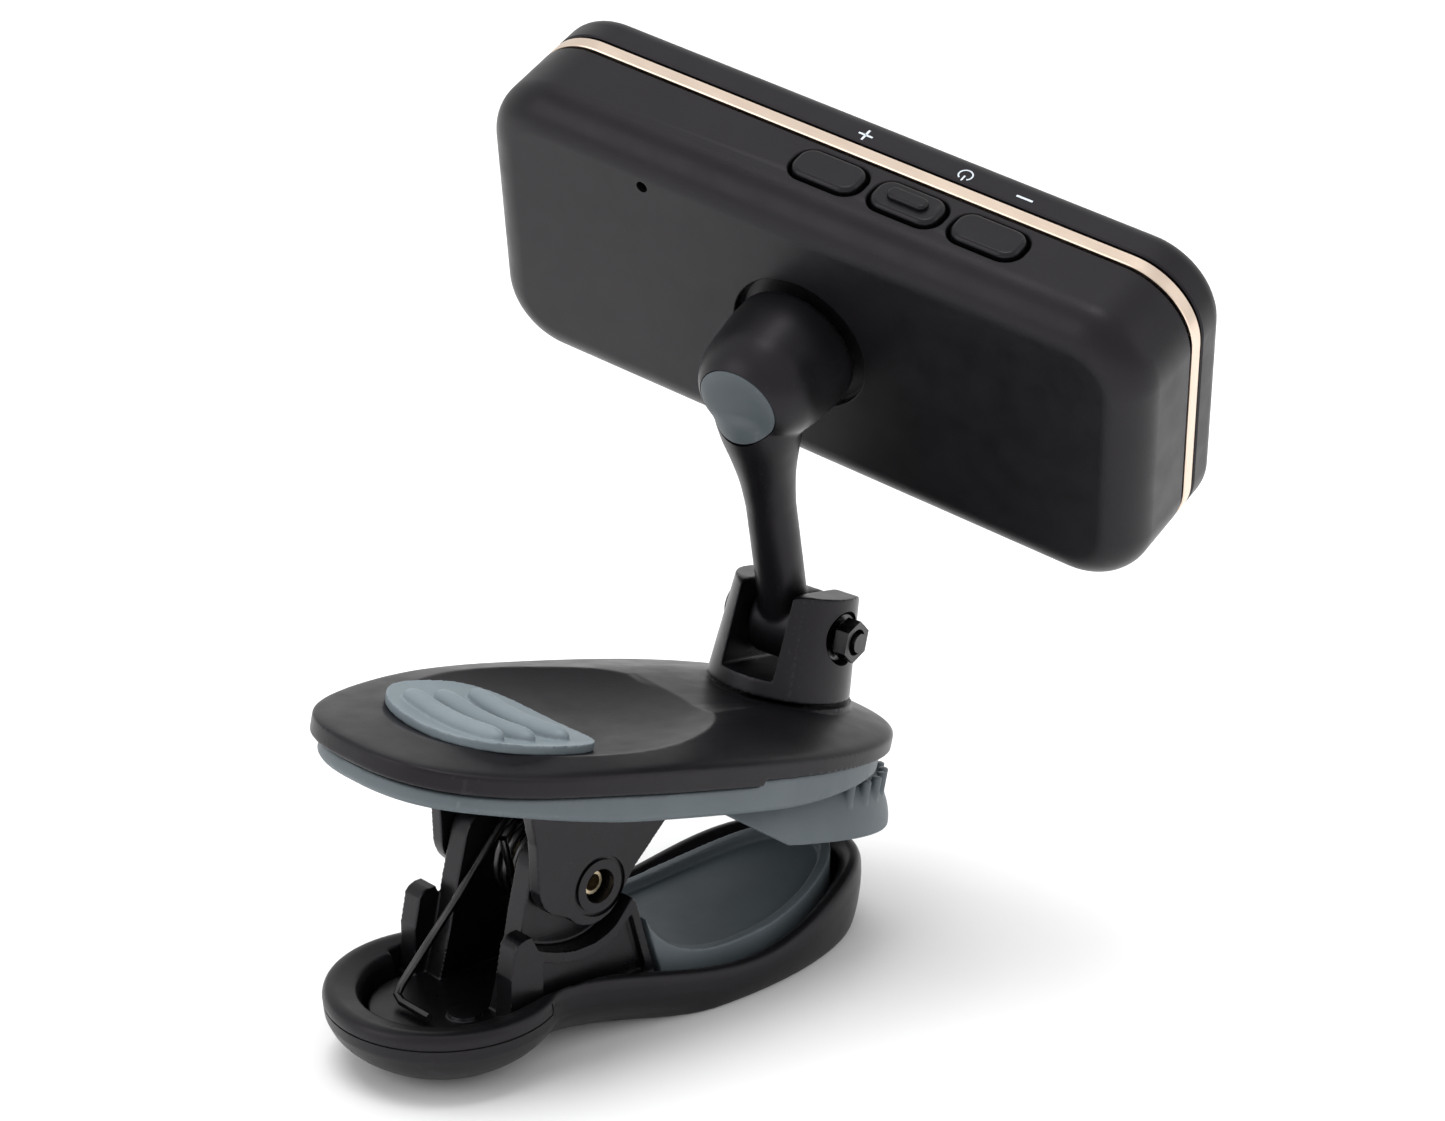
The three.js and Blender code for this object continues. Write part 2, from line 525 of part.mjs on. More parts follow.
// a plate under the lever with a cheek at each side that hangs down past the pin
function upperFrame() {
  const cheek = new THREE.Shape();
  cheek.moveTo(7.4, LEVER.frameTop).lineTo(-9.9, LEVER.frameTop).lineTo(-9.3, 6).lineTo(-8.1, 3.6);
  cheek.lineTo(-6.9, -0.2).quadraticCurveTo(-6.2, -1.5, -4.7, -2);
  cheek.absarc(-0.6, -0.1, 3.05, 1.28 * Math.PI, 1.88 * Math.PI).lineTo(3.2, 1.2);
  const cheeks = [-1, 1].map((side) => {
    const [near, far] = [side * CHEEK.inner, side * CHEEK.outer].sort((a, b) => a - b);
    const ring = cut(rod('y', side * CHEEK.outer - 0.25, side * CHEEK.outer + 0.25, 2.5),
      rod('y', side * CHEEK.outer - 1, side * CHEEK.outer + 1, 2.15));
    return cut(standing(cheek, near, far), ring);
  });
  const plate = box(-9.6, 7.4, -CHEEK.outer + 0.1, CHEEK.outer - 0.1, LEVER.frameTop - 1.5, LEVER.frameTop);
  return cut(join(plate, ...cheeks), rod('y', -9, 9, PIN.r + GAP));
}

// jaw pad on the lever: a slanted heel, a flat face and a rolled end with flutes round it
function upperJawPad() {
  const side = new THREE.Shape();
  side.moveTo(7.8, LEVER.padTop).lineTo(9, 6.2).lineTo(17.2, JAW.face);
  side.lineTo(36, JAW.face).lineTo(36, LEVER.padTop);
  const plan = superellipse(JAW.cx, JAW.a, JAW.b, 2.5, 40);
  const block = cut(slab(plan, JAW.face - 4, LEVER.padTop, 4, 2.4, 4), box(0, 40, -20, 20, -9, JAW.face));
  const flutes = [];
  for (const turn of [-78, -58, -40, -22, 0, 22, 40, 58, 78]) {
    const [c, s] = [Math.cos(turn * DEG), Math.sin(turn * DEG)];
    const x = JAW.cx + (JAW.a - 1.9) * Math.sign(c) * Math.abs(c) ** 0.8;
    const y = (JAW.b - 1.9) * Math.sign(s) * Math.abs(s) ** 0.8;
    flutes.push(rod('z', LEVER.padTop - 3, LEVER.padTop - 0.6, 0.65, [x, y, 0], 10));
  }
  return join(block, ...flutes).intersect(standing(side, -15, 15));
}

function addLever(parent) {
  const lever = group(parent, [0, 0, 0], [0, LEVER_TILT, 0]);
  part(lever, 'upper_lever_shell', upperLeverShell(), softBlack);
  part(lever, 'thumb_pad', thumbPad(), softGrey);
  part(lever, 'upper_lever_liner', upperLeverLiner(), softGrey);
  part(lever, 'upper_frame', upperFrame(), satinBlack);
  part(lever, 'upper_jaw_pad', upperJawPad(), softGrey);
  return lever;
}

// ---------- lower clip: from the pivot, z measured from the pin ----------
const aboveFloor = (height) => height - PIVOT.z;

// the rim dips between the handle and the tip
const rimHeight = (x) => (x < CLIP.jawX
  ? 3.25 + 2.95 * smooth((CLIP.jawX - x) / 19)
  : 3.25 + 2.55 * smooth((x - CLIP.jawX) / 15));
const rimWidth = (x) => CLIP.wall - 1.1 * smooth((x + 7) / 9);

// the tray, as rings from its underside, over the rim and down to the inner floor
function lowerShell() {
  const outline = clipOutline();
  const outside = [[5.4, 0], [4.2, 0.4], [3, 1], [1.6, 2], [0.7, 3], [0.2, 4]];
  const over = [[0.05, -0.8], [0.25, -0.25], [0.6, -0.03], [1, 0]];
  const ring = (inward, height) => {
    const moved = inset(outline, 1);
    return outline.map((p, i) => {
      const step = inward(p.x);
      const q = p.clone().lerp(moved[i], step);
      return new THREE.Vector3(q.x, q.y, aboveFloor(height(p.x)));
    });
  };
  const undercut = (x) => 1 - 0.88 * smooth((x + 4) / 14);
  const lift = (x) => 0.8 * smooth((x - 26) / 6);
  const rings = [
    ...outside.map(([inward, z]) =>
      ring((x) => inward * undercut(x), (x) => z * (rimHeight(x) - 1) / 5.2 + lift(x))),
    ...over.map(([inward, drop]) => ring(() => inward, (x) => rimHeight(x) + drop)),
    ring((x) => rimWidth(x) - 0.4, (x) => rimHeight(x) - 0.45),
    ring((x) => rimWidth(x), (x) => rimHeight(x) - 1),
    ring((x) => rimWidth(x) + 0.15, () => TRAY_FLOOR),
  ];
  return cut(skinned(rings),
    box(POCKET.from, POCKET.to, -POCKET.half, POCKET.half, aboveFloor(POCKET.floor), 0));
}

// base plate with two inner uprights for the pin and two outer walls with a saddle for the cheeks
function lowerFrame() {
  const floor = aboveFloor(FRAME_FLOOR);
  const plate = slab(inset(clipOutline(), CLIP.wall + 0.5), aboveFloor(TRAY_FLOOR + GAP), floor)
    .intersect(box(-30, 4.9, -9, 9, -20, 20));
  const half = POCKET.half - 0.2;
  const flange = box(POCKET.from + 0.6, 5.1, -half, half, aboveFloor(POCKET.floor + GAP), floor);
  const base = floor - 0.2;
  const upright = new THREE.Shape();
  upright.moveTo(-9.7, base).lineTo(-8.6, -5).lineTo(-7.7, -1).lineTo(-6.8, 2.6);
  upright.quadraticCurveTo(-6.2, 3.6, -4, 4.1).quadraticCurveTo(3.2, 6.1, 3.2, 0);
  upright.lineTo(3, -2.4).lineTo(4.4, base);
  const saddle = new THREE.Shape();
  saddle.moveTo(-9.3, base).lineTo(-9.1, -4.8).lineTo(-8.6, -2.5).quadraticCurveTo(-8.4, -2, -7.7, -1.9);
  saddle.lineTo(-7, -1.9).lineTo(-6.4, -3.2).quadraticCurveTo(-1.6, -5.6, 1.4, -3.6);
  saddle.lineTo(3, -1.9).lineTo(3.4, -2.4).lineTo(5.1, -8.5).lineTo(5.1, base);
  const recess = new THREE.Shape();
  recess.moveTo(-6, base + 0.4).lineTo(-5.9, -4.4).quadraticCurveTo(-1.4, -6.4, 1.2, -4.7).lineTo(2.9, -3.3);
  recess.lineTo(4.2, -8).lineTo(4.2, base + 0.4);
  const sides = [-1, 1].flatMap((side) => {
    const span = (from, to) => [side * from, side * to].sort((a, b) => a - b);
    const wall = standing(saddle, ...span(UPRIGHT.outer - 0.1, SADDLE.outer));
    return [standing(upright, ...span(UPRIGHT.inner, UPRIGHT.outer)),
      cut(wall, standing(recess, ...span(SADDLE.panel, 9)))];
  });
  const boss = rod('z', floor - 0.5, floor + 0.3, 1.3, [-10.4, -2.6, 0], 24);
  return cut(join(plate, flange, boss, ...sides), rod('y', -9, 9, PIN.r + GAP));
}

// jaw pad in the tray: a dish that climbs at the pivot end and toward the tip, inside a soft lip
function lowerJawPad() {
  const half = 7;
  const outline = inset(clipOutline(), 2.6);
  const side = (drop) => {
    const shape = new THREE.Shape();
    shape.moveTo(6.3, aboveFloor(TRAY_FLOOR + GAP)).lineTo(6.1, -9.4 - drop).lineTo(4.3 + drop * 0.9, -2.9);
    shape.bezierCurveTo(5.2 + drop * 0.6, -7.2 - drop, 8.5, -9.1 - drop, 14, -9.1 - drop);
    shape.bezierCurveTo(20, -9.1 - drop, 24, -7.6 - drop, 29, -6.4 - drop);
    shape.lineTo(29, aboveFloor(TRAY_FLOOR + GAP));
    return shape;
  };
  const body = slab(outline, -12, 0).intersect(standing(side(0), -half, half));
  const aboveFace = cut(box(5, 30, -half, half, -11, 0), standing(side(0.9), -9, 9));
  return cut(body, slab(inset(outline, 0.9), -12, 0).intersect(aboveFace));
}

const pivotPin = () =>
  cut(rod('y', -PIN.half, PIN.half, PIN.r, [0, 0, 0], 20), rod('y', -9, 9, PIN.bore, [0, 0, 0], 16));

// wire: a leg from under the lever, the coil round the pin, a leg to the tray and its bent foot
function torsionSpring() {
  const [from, to] = [-114 * DEG, (135.6 + 360 * (SPRING.turns - 1)) * DEG];
  const onCoil = (t) => {
    const a = from + (to - from) * t;
    const station = SPRING.from + (SPRING.to - SPRING.from) * t;
    return new THREE.Vector3(SPRING.r * Math.cos(a), station, SPRING.r * Math.sin(a));
  };
  const shortLeg = [[-8.4, SPRING.from - 0.1, 3.6], [-5, SPRING.from - 0.05, 0.2]];
  const longLeg = [[-7, 2, -2], [-12.5, 2.4, -7.4], [-13.1, 2.2, -7.9],
    [-13.3, 1.4, -8.1], [-13.3, -2, -8.1]];
  const points = shortLeg.map((at) => new THREE.Vector3(...at));
  const turnSteps = SPRING.turns * 10;
  for (let i = 0; i <= turnSteps; i += 1) points.push(onCoil(i / turnSteps));
  points.push(...longLeg.map((at) => new THREE.Vector3(...at)));
  const path = new THREE.CatmullRomCurve3(points, false, 'centripetal');
  const wire = new THREE.Shape();
  wire.absarc(0, 0, SPRING.wire, 0, 2 * Math.PI);
  const along = { extrudePath: path, steps: 96, curveSegments: 3, bevelEnabled: false };
  return solid(new THREE.ExtrudeGeometry(wire, along));
}

function addLowerClip(parent) {
  part(parent, 'lower_shell', lowerShell(), softBlack);
  part(parent, 'lower_frame', lowerFrame(), satinBlack);
  part(parent, 'lower_jaw_pad', lowerJawPad(), softGrey);
  part(parent, 'pivot_pin', pivotPin(), brass);
  part(parent, 'torsion_spring', torsionSpring(), darkSteel);
}

// ---------- the whole ----------
const tuner = new THREE.Group();
tuner.name = 'clip_on_tuner';
const clip = group(tuner, [PIVOT.x, 0, PIVOT.z]);
addLowerClip(clip);
const socket = addTurretAndArm(addLever(clip));
addHead(socket);

export default tuner;
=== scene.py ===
"""Looks of a clip-on tuner: moulded shells, soft pads, a metal band and small hardware, on a pale floor.

Each piece is drawn in millimetres in the frame of its own sub-assembly, and the record's joints place it.
"""
import json
import math

import bmesh
import bpy
from mathutils import Matrix, Vector


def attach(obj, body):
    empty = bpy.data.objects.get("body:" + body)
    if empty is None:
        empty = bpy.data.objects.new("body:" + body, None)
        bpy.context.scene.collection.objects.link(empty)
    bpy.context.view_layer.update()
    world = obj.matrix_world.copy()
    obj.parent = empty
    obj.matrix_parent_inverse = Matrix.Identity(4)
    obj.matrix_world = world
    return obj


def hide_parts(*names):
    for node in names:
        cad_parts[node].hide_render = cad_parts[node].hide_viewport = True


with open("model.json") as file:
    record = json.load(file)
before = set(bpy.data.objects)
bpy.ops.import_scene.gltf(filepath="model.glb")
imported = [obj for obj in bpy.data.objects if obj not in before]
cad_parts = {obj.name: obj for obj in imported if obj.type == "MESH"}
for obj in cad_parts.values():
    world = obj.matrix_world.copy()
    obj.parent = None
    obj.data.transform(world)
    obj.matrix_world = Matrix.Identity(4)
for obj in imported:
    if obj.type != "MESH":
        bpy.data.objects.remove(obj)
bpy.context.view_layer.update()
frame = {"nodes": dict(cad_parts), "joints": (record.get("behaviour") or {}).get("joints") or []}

MM = 0.001
GAP = 0.3

# ---------- driving dimensions, millimetres ----------
HEAD = {"w": 60, "h": 26.75, "d": 12.94, "corner": 5.96, "back_edge": 3.2, "front_edge": 1.7, "wall": 1.5}
BALL_TO_BACK = 4.35
BAND = {"from": 7.93, "to": 9.39, "wall": 1.6}
WINDOW = {"w": 51, "h": 20.5, "corner": 1.5}
KEYS = {"first": -0.4, "pitch": 7.1, "depth": 5.3, "l": 5.9, "w": 3.2, "corner": 1.3, "proud": 0.35}
RESET_HOLE = {"x": -14.3, "z": 9.5, "r": 0.5}
SCREW_SPOTS = [(-24, -8.6), (24, -8.6)]
DISH = {"r": 6.0, "deep": 0.95}
STUD_R = 1.2
BULB = {
    "front": 4.2, "bore": 4.3, "floor": -2.1, "plug_r": 3.4, "plug_seat": -3.85,
    "squash": 0.02, "lift": 0.07,
}
ROD_R = 2.0
STEM = {"back": 0.6, "lean": 2.5}
EYE = {"r": 3.1, "half": 2.15}
EAR = {"inner": 2.45, "top": 8.8, "seat": 4.2}
TURRET_R = 5.85
HINGE_HEIGHT = 5.6
BOLT_R = 0.8
LEVER = {
    "cx": 4.3, "a": 26, "b": 13.3, "power": 2.62, "jaw_power": 2.75,
    "part": 9.75, "liner": 7.95, "roof": 10.75, "frame_top": 7.65, "pad_top": 7.65,
    "step_x": 8.8, "step": 0.5, "bow": 0.8, "sag": 1.0, "droop": 0.55,
}
FOOT = {"x": 21.9, "z": 13.0}
JAW = {"cx": 20.5, "a": 12.9, "b": 9.2, "face": 2.9}
SCOOP = {"x": -4.6, "rx": 16, "ry": 12.5, "deep": 2.6}
THUMB = {"x": -8.3, "rx": 6.8, "ry": 8.2, "thick": 0.75, "seat": 0.0, "ribs": (-12, -8.9, -5.5)}
RIB = {"half": 5.7, "r": 0.95, "proud": 1.1}
CHEEK = {"inner": 5.3, "outer": 6.5}
SADDLE = {"outer": 6.8, "panel": 6.2}
UPRIGHT = {"inner": 3.0, "outer": 5.0}
CLIP = {
    "handle_x": -10.4, "handle_r": 9.3, "jaw_x": 14, "jaw_half": 9.7, "tip_x": 31.3,
    "power": 0.92, "wall": 3.0,
}
SEAM = {"height": 4.9, "x": -6.2, "deep": 0.22, "wide": 0.16}
TRAY_FLOOR = 1.6
FRAME_FLOOR = 4.2
POCKET = {"from": -10.2, "to": 5.9, "half": 7.1, "floor": 3.5}
SPRING = {"r": 3.6, "wire": 0.34, "turns": 4, "from": -1.5, "to": 2.55}
PIN = {"r": 1.1, "bore": 0.7, "half": 5.6}

joints = {joint["name"]: joint for joint in frame["joints"]}


# ---------- frames of the sub-assemblies ----------
def point(name):
    return Vector(joints[name]["pos_m"])


def axis(name):
    return Vector(joints[name]["axis"]).normalized()


def placing(origin, x, y, z):
    """A matrix from millimetres along x, y, z to metres in the row's frame."""
    turn = Matrix((x, y, z)).transposed().to_4x4()
    return Matrix.Translation(origin) @ turn @ Matrix.Scale(MM, 4)


BALL = point("head_spin")
BARREL = axis("head_spin")
HEAD_UP = -axis("press_plus")
HINGE_AXIS = axis("arm_fold")
LEVER_UP = axis("turret_swivel")
ACROSS = Vector((0, 1, 0))
ARM_UP = (BALL - point("arm_fold")).normalized()

in_head = placing(BALL, BARREL.cross(HEAD_UP), BARREL, HEAD_UP)
in_barrel = placing(BALL, HINGE_AXIS, BARREL, HINGE_AXIS.cross(BARREL))
in_arm = placing(point("arm_fold"), HINGE_AXIS, ARM_UP.cross(HINGE_AXIS), ARM_UP)
in_turret = placing(point("turret_swivel"), HINGE_AXIS, LEVER_UP.cross(HINGE_AXIS), LEVER_UP)
in_lever = placing(point("clip_pivot"), ACROSS.cross(LEVER_UP), ACROSS, LEVER_UP)
in_clip = placing(point("clip_pivot"), Vector((1, 0, 0)), ACROSS, Vector((0, 0, 1)))
PIVOT_Z = point("clip_pivot").z / MM


# ---------- outlines: lists of points, counter-clockwise ----------
def smooth(t):
    s = min(1.0, max(0.0, t))
    return s * s * (3 - 2 * s)


def arc(cx, cy, r, start, end, steps):
    turns = [start + (end - start) * i / steps for i in range(steps + 1)]
    return [(cx + r * math.cos(t), cy + r * math.sin(t)) for t in turns]


def rounded_rectangle(w, h, r, cx=0.0, cy=0.0, steps=14):
    x, y = w / 2 - r, h / 2 - r
    corners = [(x, -y, -0.5), (x, y, 0), (-x, y, 0.5), (-x, -y, 1)]
    points = []
    for px, py, turn in corners:
        points += arc(cx + px, cy + py, r, turn * math.pi, (turn + 0.5) * math.pi, steps)
    return points


def superellipse(cx, a, b, power, count=176):
    points = []
    for i in range(count):
        c = math.cos(2 * math.pi * i / count)
        s = math.sin(2 * math.pi * i / count)
        x = math.copysign(abs(c) ** (2 / power), c)
        y = math.copysign(abs(s) ** (2 / power), s)
        points.append((cx + a * x, b * y))
    return points


def quadratic(start, control, end, steps=10):
    points = []
    for i in range(1, steps + 1):
        t = i / steps
        points.append(tuple((1 - t) ** 2 * s + 2 * t * (1 - t) * c + t * t * e
                            for s, c, e in zip(start, control, end)))
    return points


def cubic(start, first, second, end, steps=16):
    points = []
    for i in range(1, steps + 1):
        t = i / steps
        u = 1 - t
        points.append(tuple(u ** 3 * s + 3 * u * u * t * a + 3 * u * t * t * b + t ** 3 * e
                            for s, a, b, e in zip(start, first, second, end)))
    return points


def inset(outline, distance):
    """Every point of a closed outline moved square inward."""
    moved = []
    for i, (x, y) in enumerate(outline):
        before = outline[i - 1]
        after = outline[(i + 1) % len(outline)]
        along = Vector((after[0] - before[0], after[1] - before[1])).normalized()
        moved.append((x - along.y * distance, y + along.x * distance))
    return moved


def lever_outline(inward=0.0):
    """The lever from above: a superellipse that is squarer toward the jaws."""
    round_end = superellipse(LEVER["cx"], LEVER["a"] - inward, LEVER["b"] - inward, LEVER["power"])
    square_end = superellipse(LEVER["cx"], LEVER["a"] - inward, LEVER["b"] - inward, LEVER["jaw_power"])
    return [square if square[0] > LEVER["cx"] else plain for plain, square in zip(round_end, square_end)]


def clip_outline():
    """The lower clip from above: a round handle lobe, a waist and a longer jaw lobe."""
    cx, r = CLIP["handle_x"], CLIP["handle_r"]
    leave = math.radians(57)
    start = (cx + r * math.cos(leave), r * math.sin(leave))
    upper = arc(cx, 0, r, math.pi, leave, 36)
    waist_end = (CLIP["jaw_x"], CLIP["jaw_half"])
    upper += cubic(start, (start[0] + 1.5, start[1] - 1), (5, CLIP["jaw_half"]), waist_end, 24)
    reach = CLIP["tip_x"] - CLIP["jaw_x"]
    for i in range(1, 37):
        t = math.pi / 2 * (1 - i / 36)
        x = CLIP["jaw_x"] + reach * max(0.0, math.cos(t)) ** CLIP["power"]
        upper.append((x, CLIP["jaw_half"] * abs(math.sin(t)) ** CLIP["power"]))
    lower = [(x, -y) for x, y in reversed(upper[1:-1])]
    return list(reversed(upper + lower))


# ---------- meshes ----------
def mesh_object(name, points, faces):
    mesh = bpy.data.meshes.new(name)
    mesh.from_pydata(points, [], faces)
    made = bmesh.new()
    made.from_mesh(mesh)
    bmesh.ops.recalc_face_normals(made, faces=made.faces)
    made.to_mesh(mesh)
    made.free()
    obj = bpy.data.objects.new(name, mesh)
    bpy.context.scene.collection.objects.link(obj)
    return obj


def loft(name, rings):
    """A body skinned over rings of equal point count, closed at each end."""
    count = len(rings[0])
    points = [p for ring in rings for p in ring]
    faces = [list(range(count)), list(range(len(points) - count, len(points)))]
    for r in range(len(rings) - 1):
        for i in range(count):
            j = (i + 1) % count
            faces.append([r * count + i, r * count + j, (r + 1) * count + j, (r + 1) * count + i])
    return mesh_object(name, points, faces)


def rounding(z0, z1, low=0.0, high=0.0, steps=8):
    """Insets and heights of a body between z0 and z1 with a rounded lower and upper edge."""
    stations = []
    if low:
        for i in range(steps + 1):
            a = math.pi / 2 * i / steps
            stations.append((low * (1 - math.sin(a)), z0 + low * (1 - math.cos(a))))
    else:
        stations.append((0.0, z0))
    if high:
        for i in range(steps + 1):
            a = math.pi / 2 * i / steps
            stations.append((high * (1 - math.cos(a)), z1 - high * (1 - math.sin(a))))
    else:
        stations.append((0.0, z1))
    return stations


def slab(outline, z0, z1, low=0.0, high=0.0):
    rings = [[(x, y, z) for x, y in inset(outline, inward)] for inward, z in rounding(z0, z1, low, high)]
    return loft("slab", rings)


def standing(outline, y0, y1, low=0.0, high=0.0):
    rings = [[(x, y, z) for x, z in inset(outline, inward)] for inward, y in rounding(y0, y1, low, high)]
    return loft("standing", rings)


def box(x0, x1, y0, y1, z0, z1):
    return slab([(x0, y0), (x1, y0), (x1, y1), (x0, y1)], z0, z1)


def rod(direction, start, end, radius, at=(0, 0, 0), segments=64, end_radius=None):
    last = radius if end_radius is None else end_radius
    rings = []
    for station, r in ((start, radius), (end, last)):
        ring = []
        for u, v in arc(0, 0, r, 0, 2 * math.pi * (segments - 1) / segments, segments - 1):
            spot = {"x": (station, u, v), "y": (u, station, v), "z": (u, v, station)}[direction]
            ring.append(tuple(a + b for a, b in zip(spot, at)))
        rings.append(ring)
    return loft("rod", rings)


def lathe(profile, segments=96):
    """A shape of revolution about y from [radius, station] pairs that start and end on the axis."""
    points, faces, rows = [], [], []
    for r, station in profile:
        if r < 1e-6:
            rows.append([len(points)])
            points.append((0, station, 0))
            continue
        rows.append(list(range(len(points), len(points) + segments)))
        for i in range(segments):
            a = 2 * math.pi * i / segments
            points.append((r * math.sin(a), station, r * math.cos(a)))
    for low, high in zip(rows, rows[1:]):
        for i in range(segments):
            j = (i + 1) % segments
            face = [low[i % len(low)], low[j % len(low)], high[j % len(high)], high[i % len(high)]]
            faces.append(list(dict.fromkeys(face)))
    return mesh_object("lathe", points, [f for f in faces if len(f) > 2])


def catmull_rom(p, q, r, s, t):
    """The value at t between q and r of the curve through four values in a row."""
    square = (2 * p - 5 * q + 4 * r - s) * t * t
    cube = (3 * q - p - 3 * r + s) * t ** 3
    return 0.5 * (2 * q + (r - p) * t + square + cube)


def rounded_profile(profile, steps=8):
    """The same profile through a Catmull-Rom curve, so that its turns are smooth."""
    ends = [profile[0]] + list(profile) + [profile[-1]]
    points = [profile[0]]
    for spans in zip(ends, ends[1:], ends[2:], ends[3:]):
        for i in range(1, steps + 1):
            across, along = (catmull_rom(*values, i / steps) for values in zip(*spans))
            points.append((max(0, across), along))
    return points


def baked(obj):
    """The object with its modifiers made part of its mesh."""
    shown = obj.evaluated_get(bpy.context.evaluated_depsgraph_get())
    mesh = bpy.data.meshes.new_from_object(shown)
    obj.modifiers.clear()
    spent = obj.data
    obj.data = mesh
    bpy.data.meshes.remove(spent)
    return obj


def combined(first, operation, tools):
    for tool in tools:
        step = first.modifiers.new(operation, "BOOLEAN")
        step.operation = operation
        step.solver = "MANIFOLD"
        step.object = tool
    baked(first)
    for tool in tools:
        bpy.data.objects.remove(tool)
    return first


def join(first, *others):
    return combined(first, "UNION", others)


def cut(first, *others):
    return combined(first, "DIFFERENCE", others)


def common(first, *others):
    return combined(first, "INTERSECT", others)


def moulded(obj, voxel=0.13, rounds=6):
    """Edges and joins softened as a moulding's are: a fine even mesh, relaxed."""
    even = obj.modifiers.new("even", "REMESH")
    even.mode = "VOXEL"
    even.voxel_size = voxel
    relax = obj.modifiers.new("relax", "SMOOTH")
    relax.factor = 0.5
    relax.iterations = rounds
    return baked(obj)


def piece(obj, name, place, body, look, *nodes, crisp=35):
    """Names, places and finishes a piece that stands for the CAD nodes given."""
    obj.name = name
    obj.data.name = name
    obj.data.transform(place)
    obj.data.materials.clear()
    obj.data.materials.append(look)
    obj.data.shade_smooth()
    obj.data.set_sharp_from_angle(angle=math.radians(crisp))
    weigh = obj.modifiers.new("weigh", "WEIGHTED_NORMAL")
    weigh.keep_sharp = True
    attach(obj, body)
    if nodes:
        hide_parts(*nodes)
    return obj


# ---------- materials ----------
def surface(name):
    look = bpy.data.materials.new(name)
    look["kind"] = name
    look.use_nodes = True
    nodes = look.node_tree.nodes
    links = look.node_tree.links
    shader = next(n for n in nodes if n.type == "BSDF_PRINCIPLED")
    place = nodes.new("ShaderNodeTexCoord")
    return look, nodes, links, shader, place.outputs["Object"]


def noise(nodes, links, place, scale, detail=3.0):
    made = nodes.new("ShaderNodeTexNoise")
    made.inputs["Scale"].default_value = scale
    made.inputs["Detail"].default_value = detail
    links.new(place, made.inputs["Vector"])
    return made.outputs["Fac"]


def ramp(nodes, links, value, low, high, start=0.3, end=0.7):
    """Two colours across the middle of a texture's range."""
    made = nodes.new("ShaderNodeValToRGB")
    made.color_ramp.elements[0].position = start
    made.color_ramp.elements[1].position = end
    made.color_ramp.elements[0].color = (*low, 1)
    made.color_ramp.elements[1].color = (*high, 1)
    links.new(value, made.inputs["Fac"])
    return made.outputs["Color"]


def spread(nodes, links, value, low, high):
    made = nodes.new("ShaderNodeMapRange")
    made.inputs["From Min"].default_value = 0.3
    made.inputs["From Max"].default_value = 0.7
    made.inputs["To Min"].default_value = low
    made.inputs["To Max"].default_value = high
    links.new(value, made.inputs["Value"])
    return made.outputs["Result"]


def grain(nodes, links, shader, height, strength, distance):
    bump = nodes.new("ShaderNodeBump")
    bump.inputs["Strength"].default_value = strength
    bump.inputs["Distance"].default_value = distance
    links.new(height, bump.inputs["Height"])
    links.new(bump.outputs["Normal"], shader.inputs["Normal"])


def paler_at_edges(nodes, links, colour, edge_colour, start=0.55, end=0.68):
    """The colour, paler where the surface turns sharply outward."""
    shape = nodes.new("ShaderNodeNewGeometry")
    place = nodes.new("ShaderNodeMapRange")
    place.inputs["From Min"].default_value = start
    place.inputs["From Max"].default_value = end
    links.new(shape.outputs["Pointiness"], place.inputs["Value"])
    mix = nodes.new("ShaderNodeMix")
    mix.data_type = "RGBA"
    links.new(place.outputs["Result"], mix.inputs["Factor"])
    links.new(colour, mix.inputs["A"])
    mix.inputs["B"].default_value = (*edge_colour, 1)
    return mix.outputs["Result"]


def moulding(name, low, high, edge, rough, grain_scale, grain_depth, gloss=0.5):
    """Moulded plastic or rubber: cloudy colour, uneven sheen, a fine eroded texture and paler sharp edges."""
    look, nodes, links, shader, place = surface(name)
    colour = ramp(nodes, links, noise(nodes, links, place, 160), low, high)
    links.new(paler_at_edges(nodes, links, colour, edge), shader.inputs["Base Color"])
    links.new(spread(nodes, links, noise(nodes, links, place, 420, 4), *rough), shader.inputs["Roughness"])
    shader.inputs["Specular IOR Level"].default_value = gloss
    shader.inputs["Specular Tint"].default_value = (1.0, 0.94, 1.0, 1)
    grain(nodes, links, shader, noise(nodes, links, place, grain_scale, 2), 0.5, grain_depth)
    return look


def metal(name, low, high, rough, streak):
    """Turned or brushed metal: fine streaks along one direction, with clouded roughness."""
    look, nodes, links, shader, place = surface(name)
    stretch = nodes.new("ShaderNodeMapping")
    stretch.inputs["Scale"].default_value = streak
    links.new(place, stretch.inputs["Vector"])
    lines = noise(nodes, links, stretch.outputs["Vector"], 900, 2)
    links.new(ramp(nodes, links, noise(nodes, links, place, 350), low, high), shader.inputs["Base Color"])
    links.new(spread(nodes, links, lines, *rough), shader.inputs["Roughness"])
    shader.inputs["Metallic"].default_value = 1.0
    grain(nodes, links, shader, lines, 0.25, 0.00002)
    return look


soft_black = moulding(
    "soft_black", (0.0034, 0.003, 0.0038), (0.005, 0.0045, 0.0055), (0.01, 0.0092, 0.0105),
    (0.34, 0.42), 7000, 0.000016, 0.27)
satin_black = moulding(
    "satin_black", (0.0022, 0.0021, 0.0027), (0.0034, 0.0032, 0.004), (0.009, 0.0088, 0.01),
    (0.27, 0.36), 5200, 0.000013, 0.3)


def grey_rubber(name, lit_shade_scale):
    """The blue-grey rubber of the pads, scaled brighter or darker per part as painted light and shade."""
    low, high, edge = [[lit_shade_scale * c for c in colour] for colour in
                       ((0.088, 0.108, 0.118), (0.104, 0.126, 0.137), (0.112, 0.134, 0.146))]
    return moulding(name, low, high, edge, (0.46, 0.56), 6000, 0.00002, 0.36)


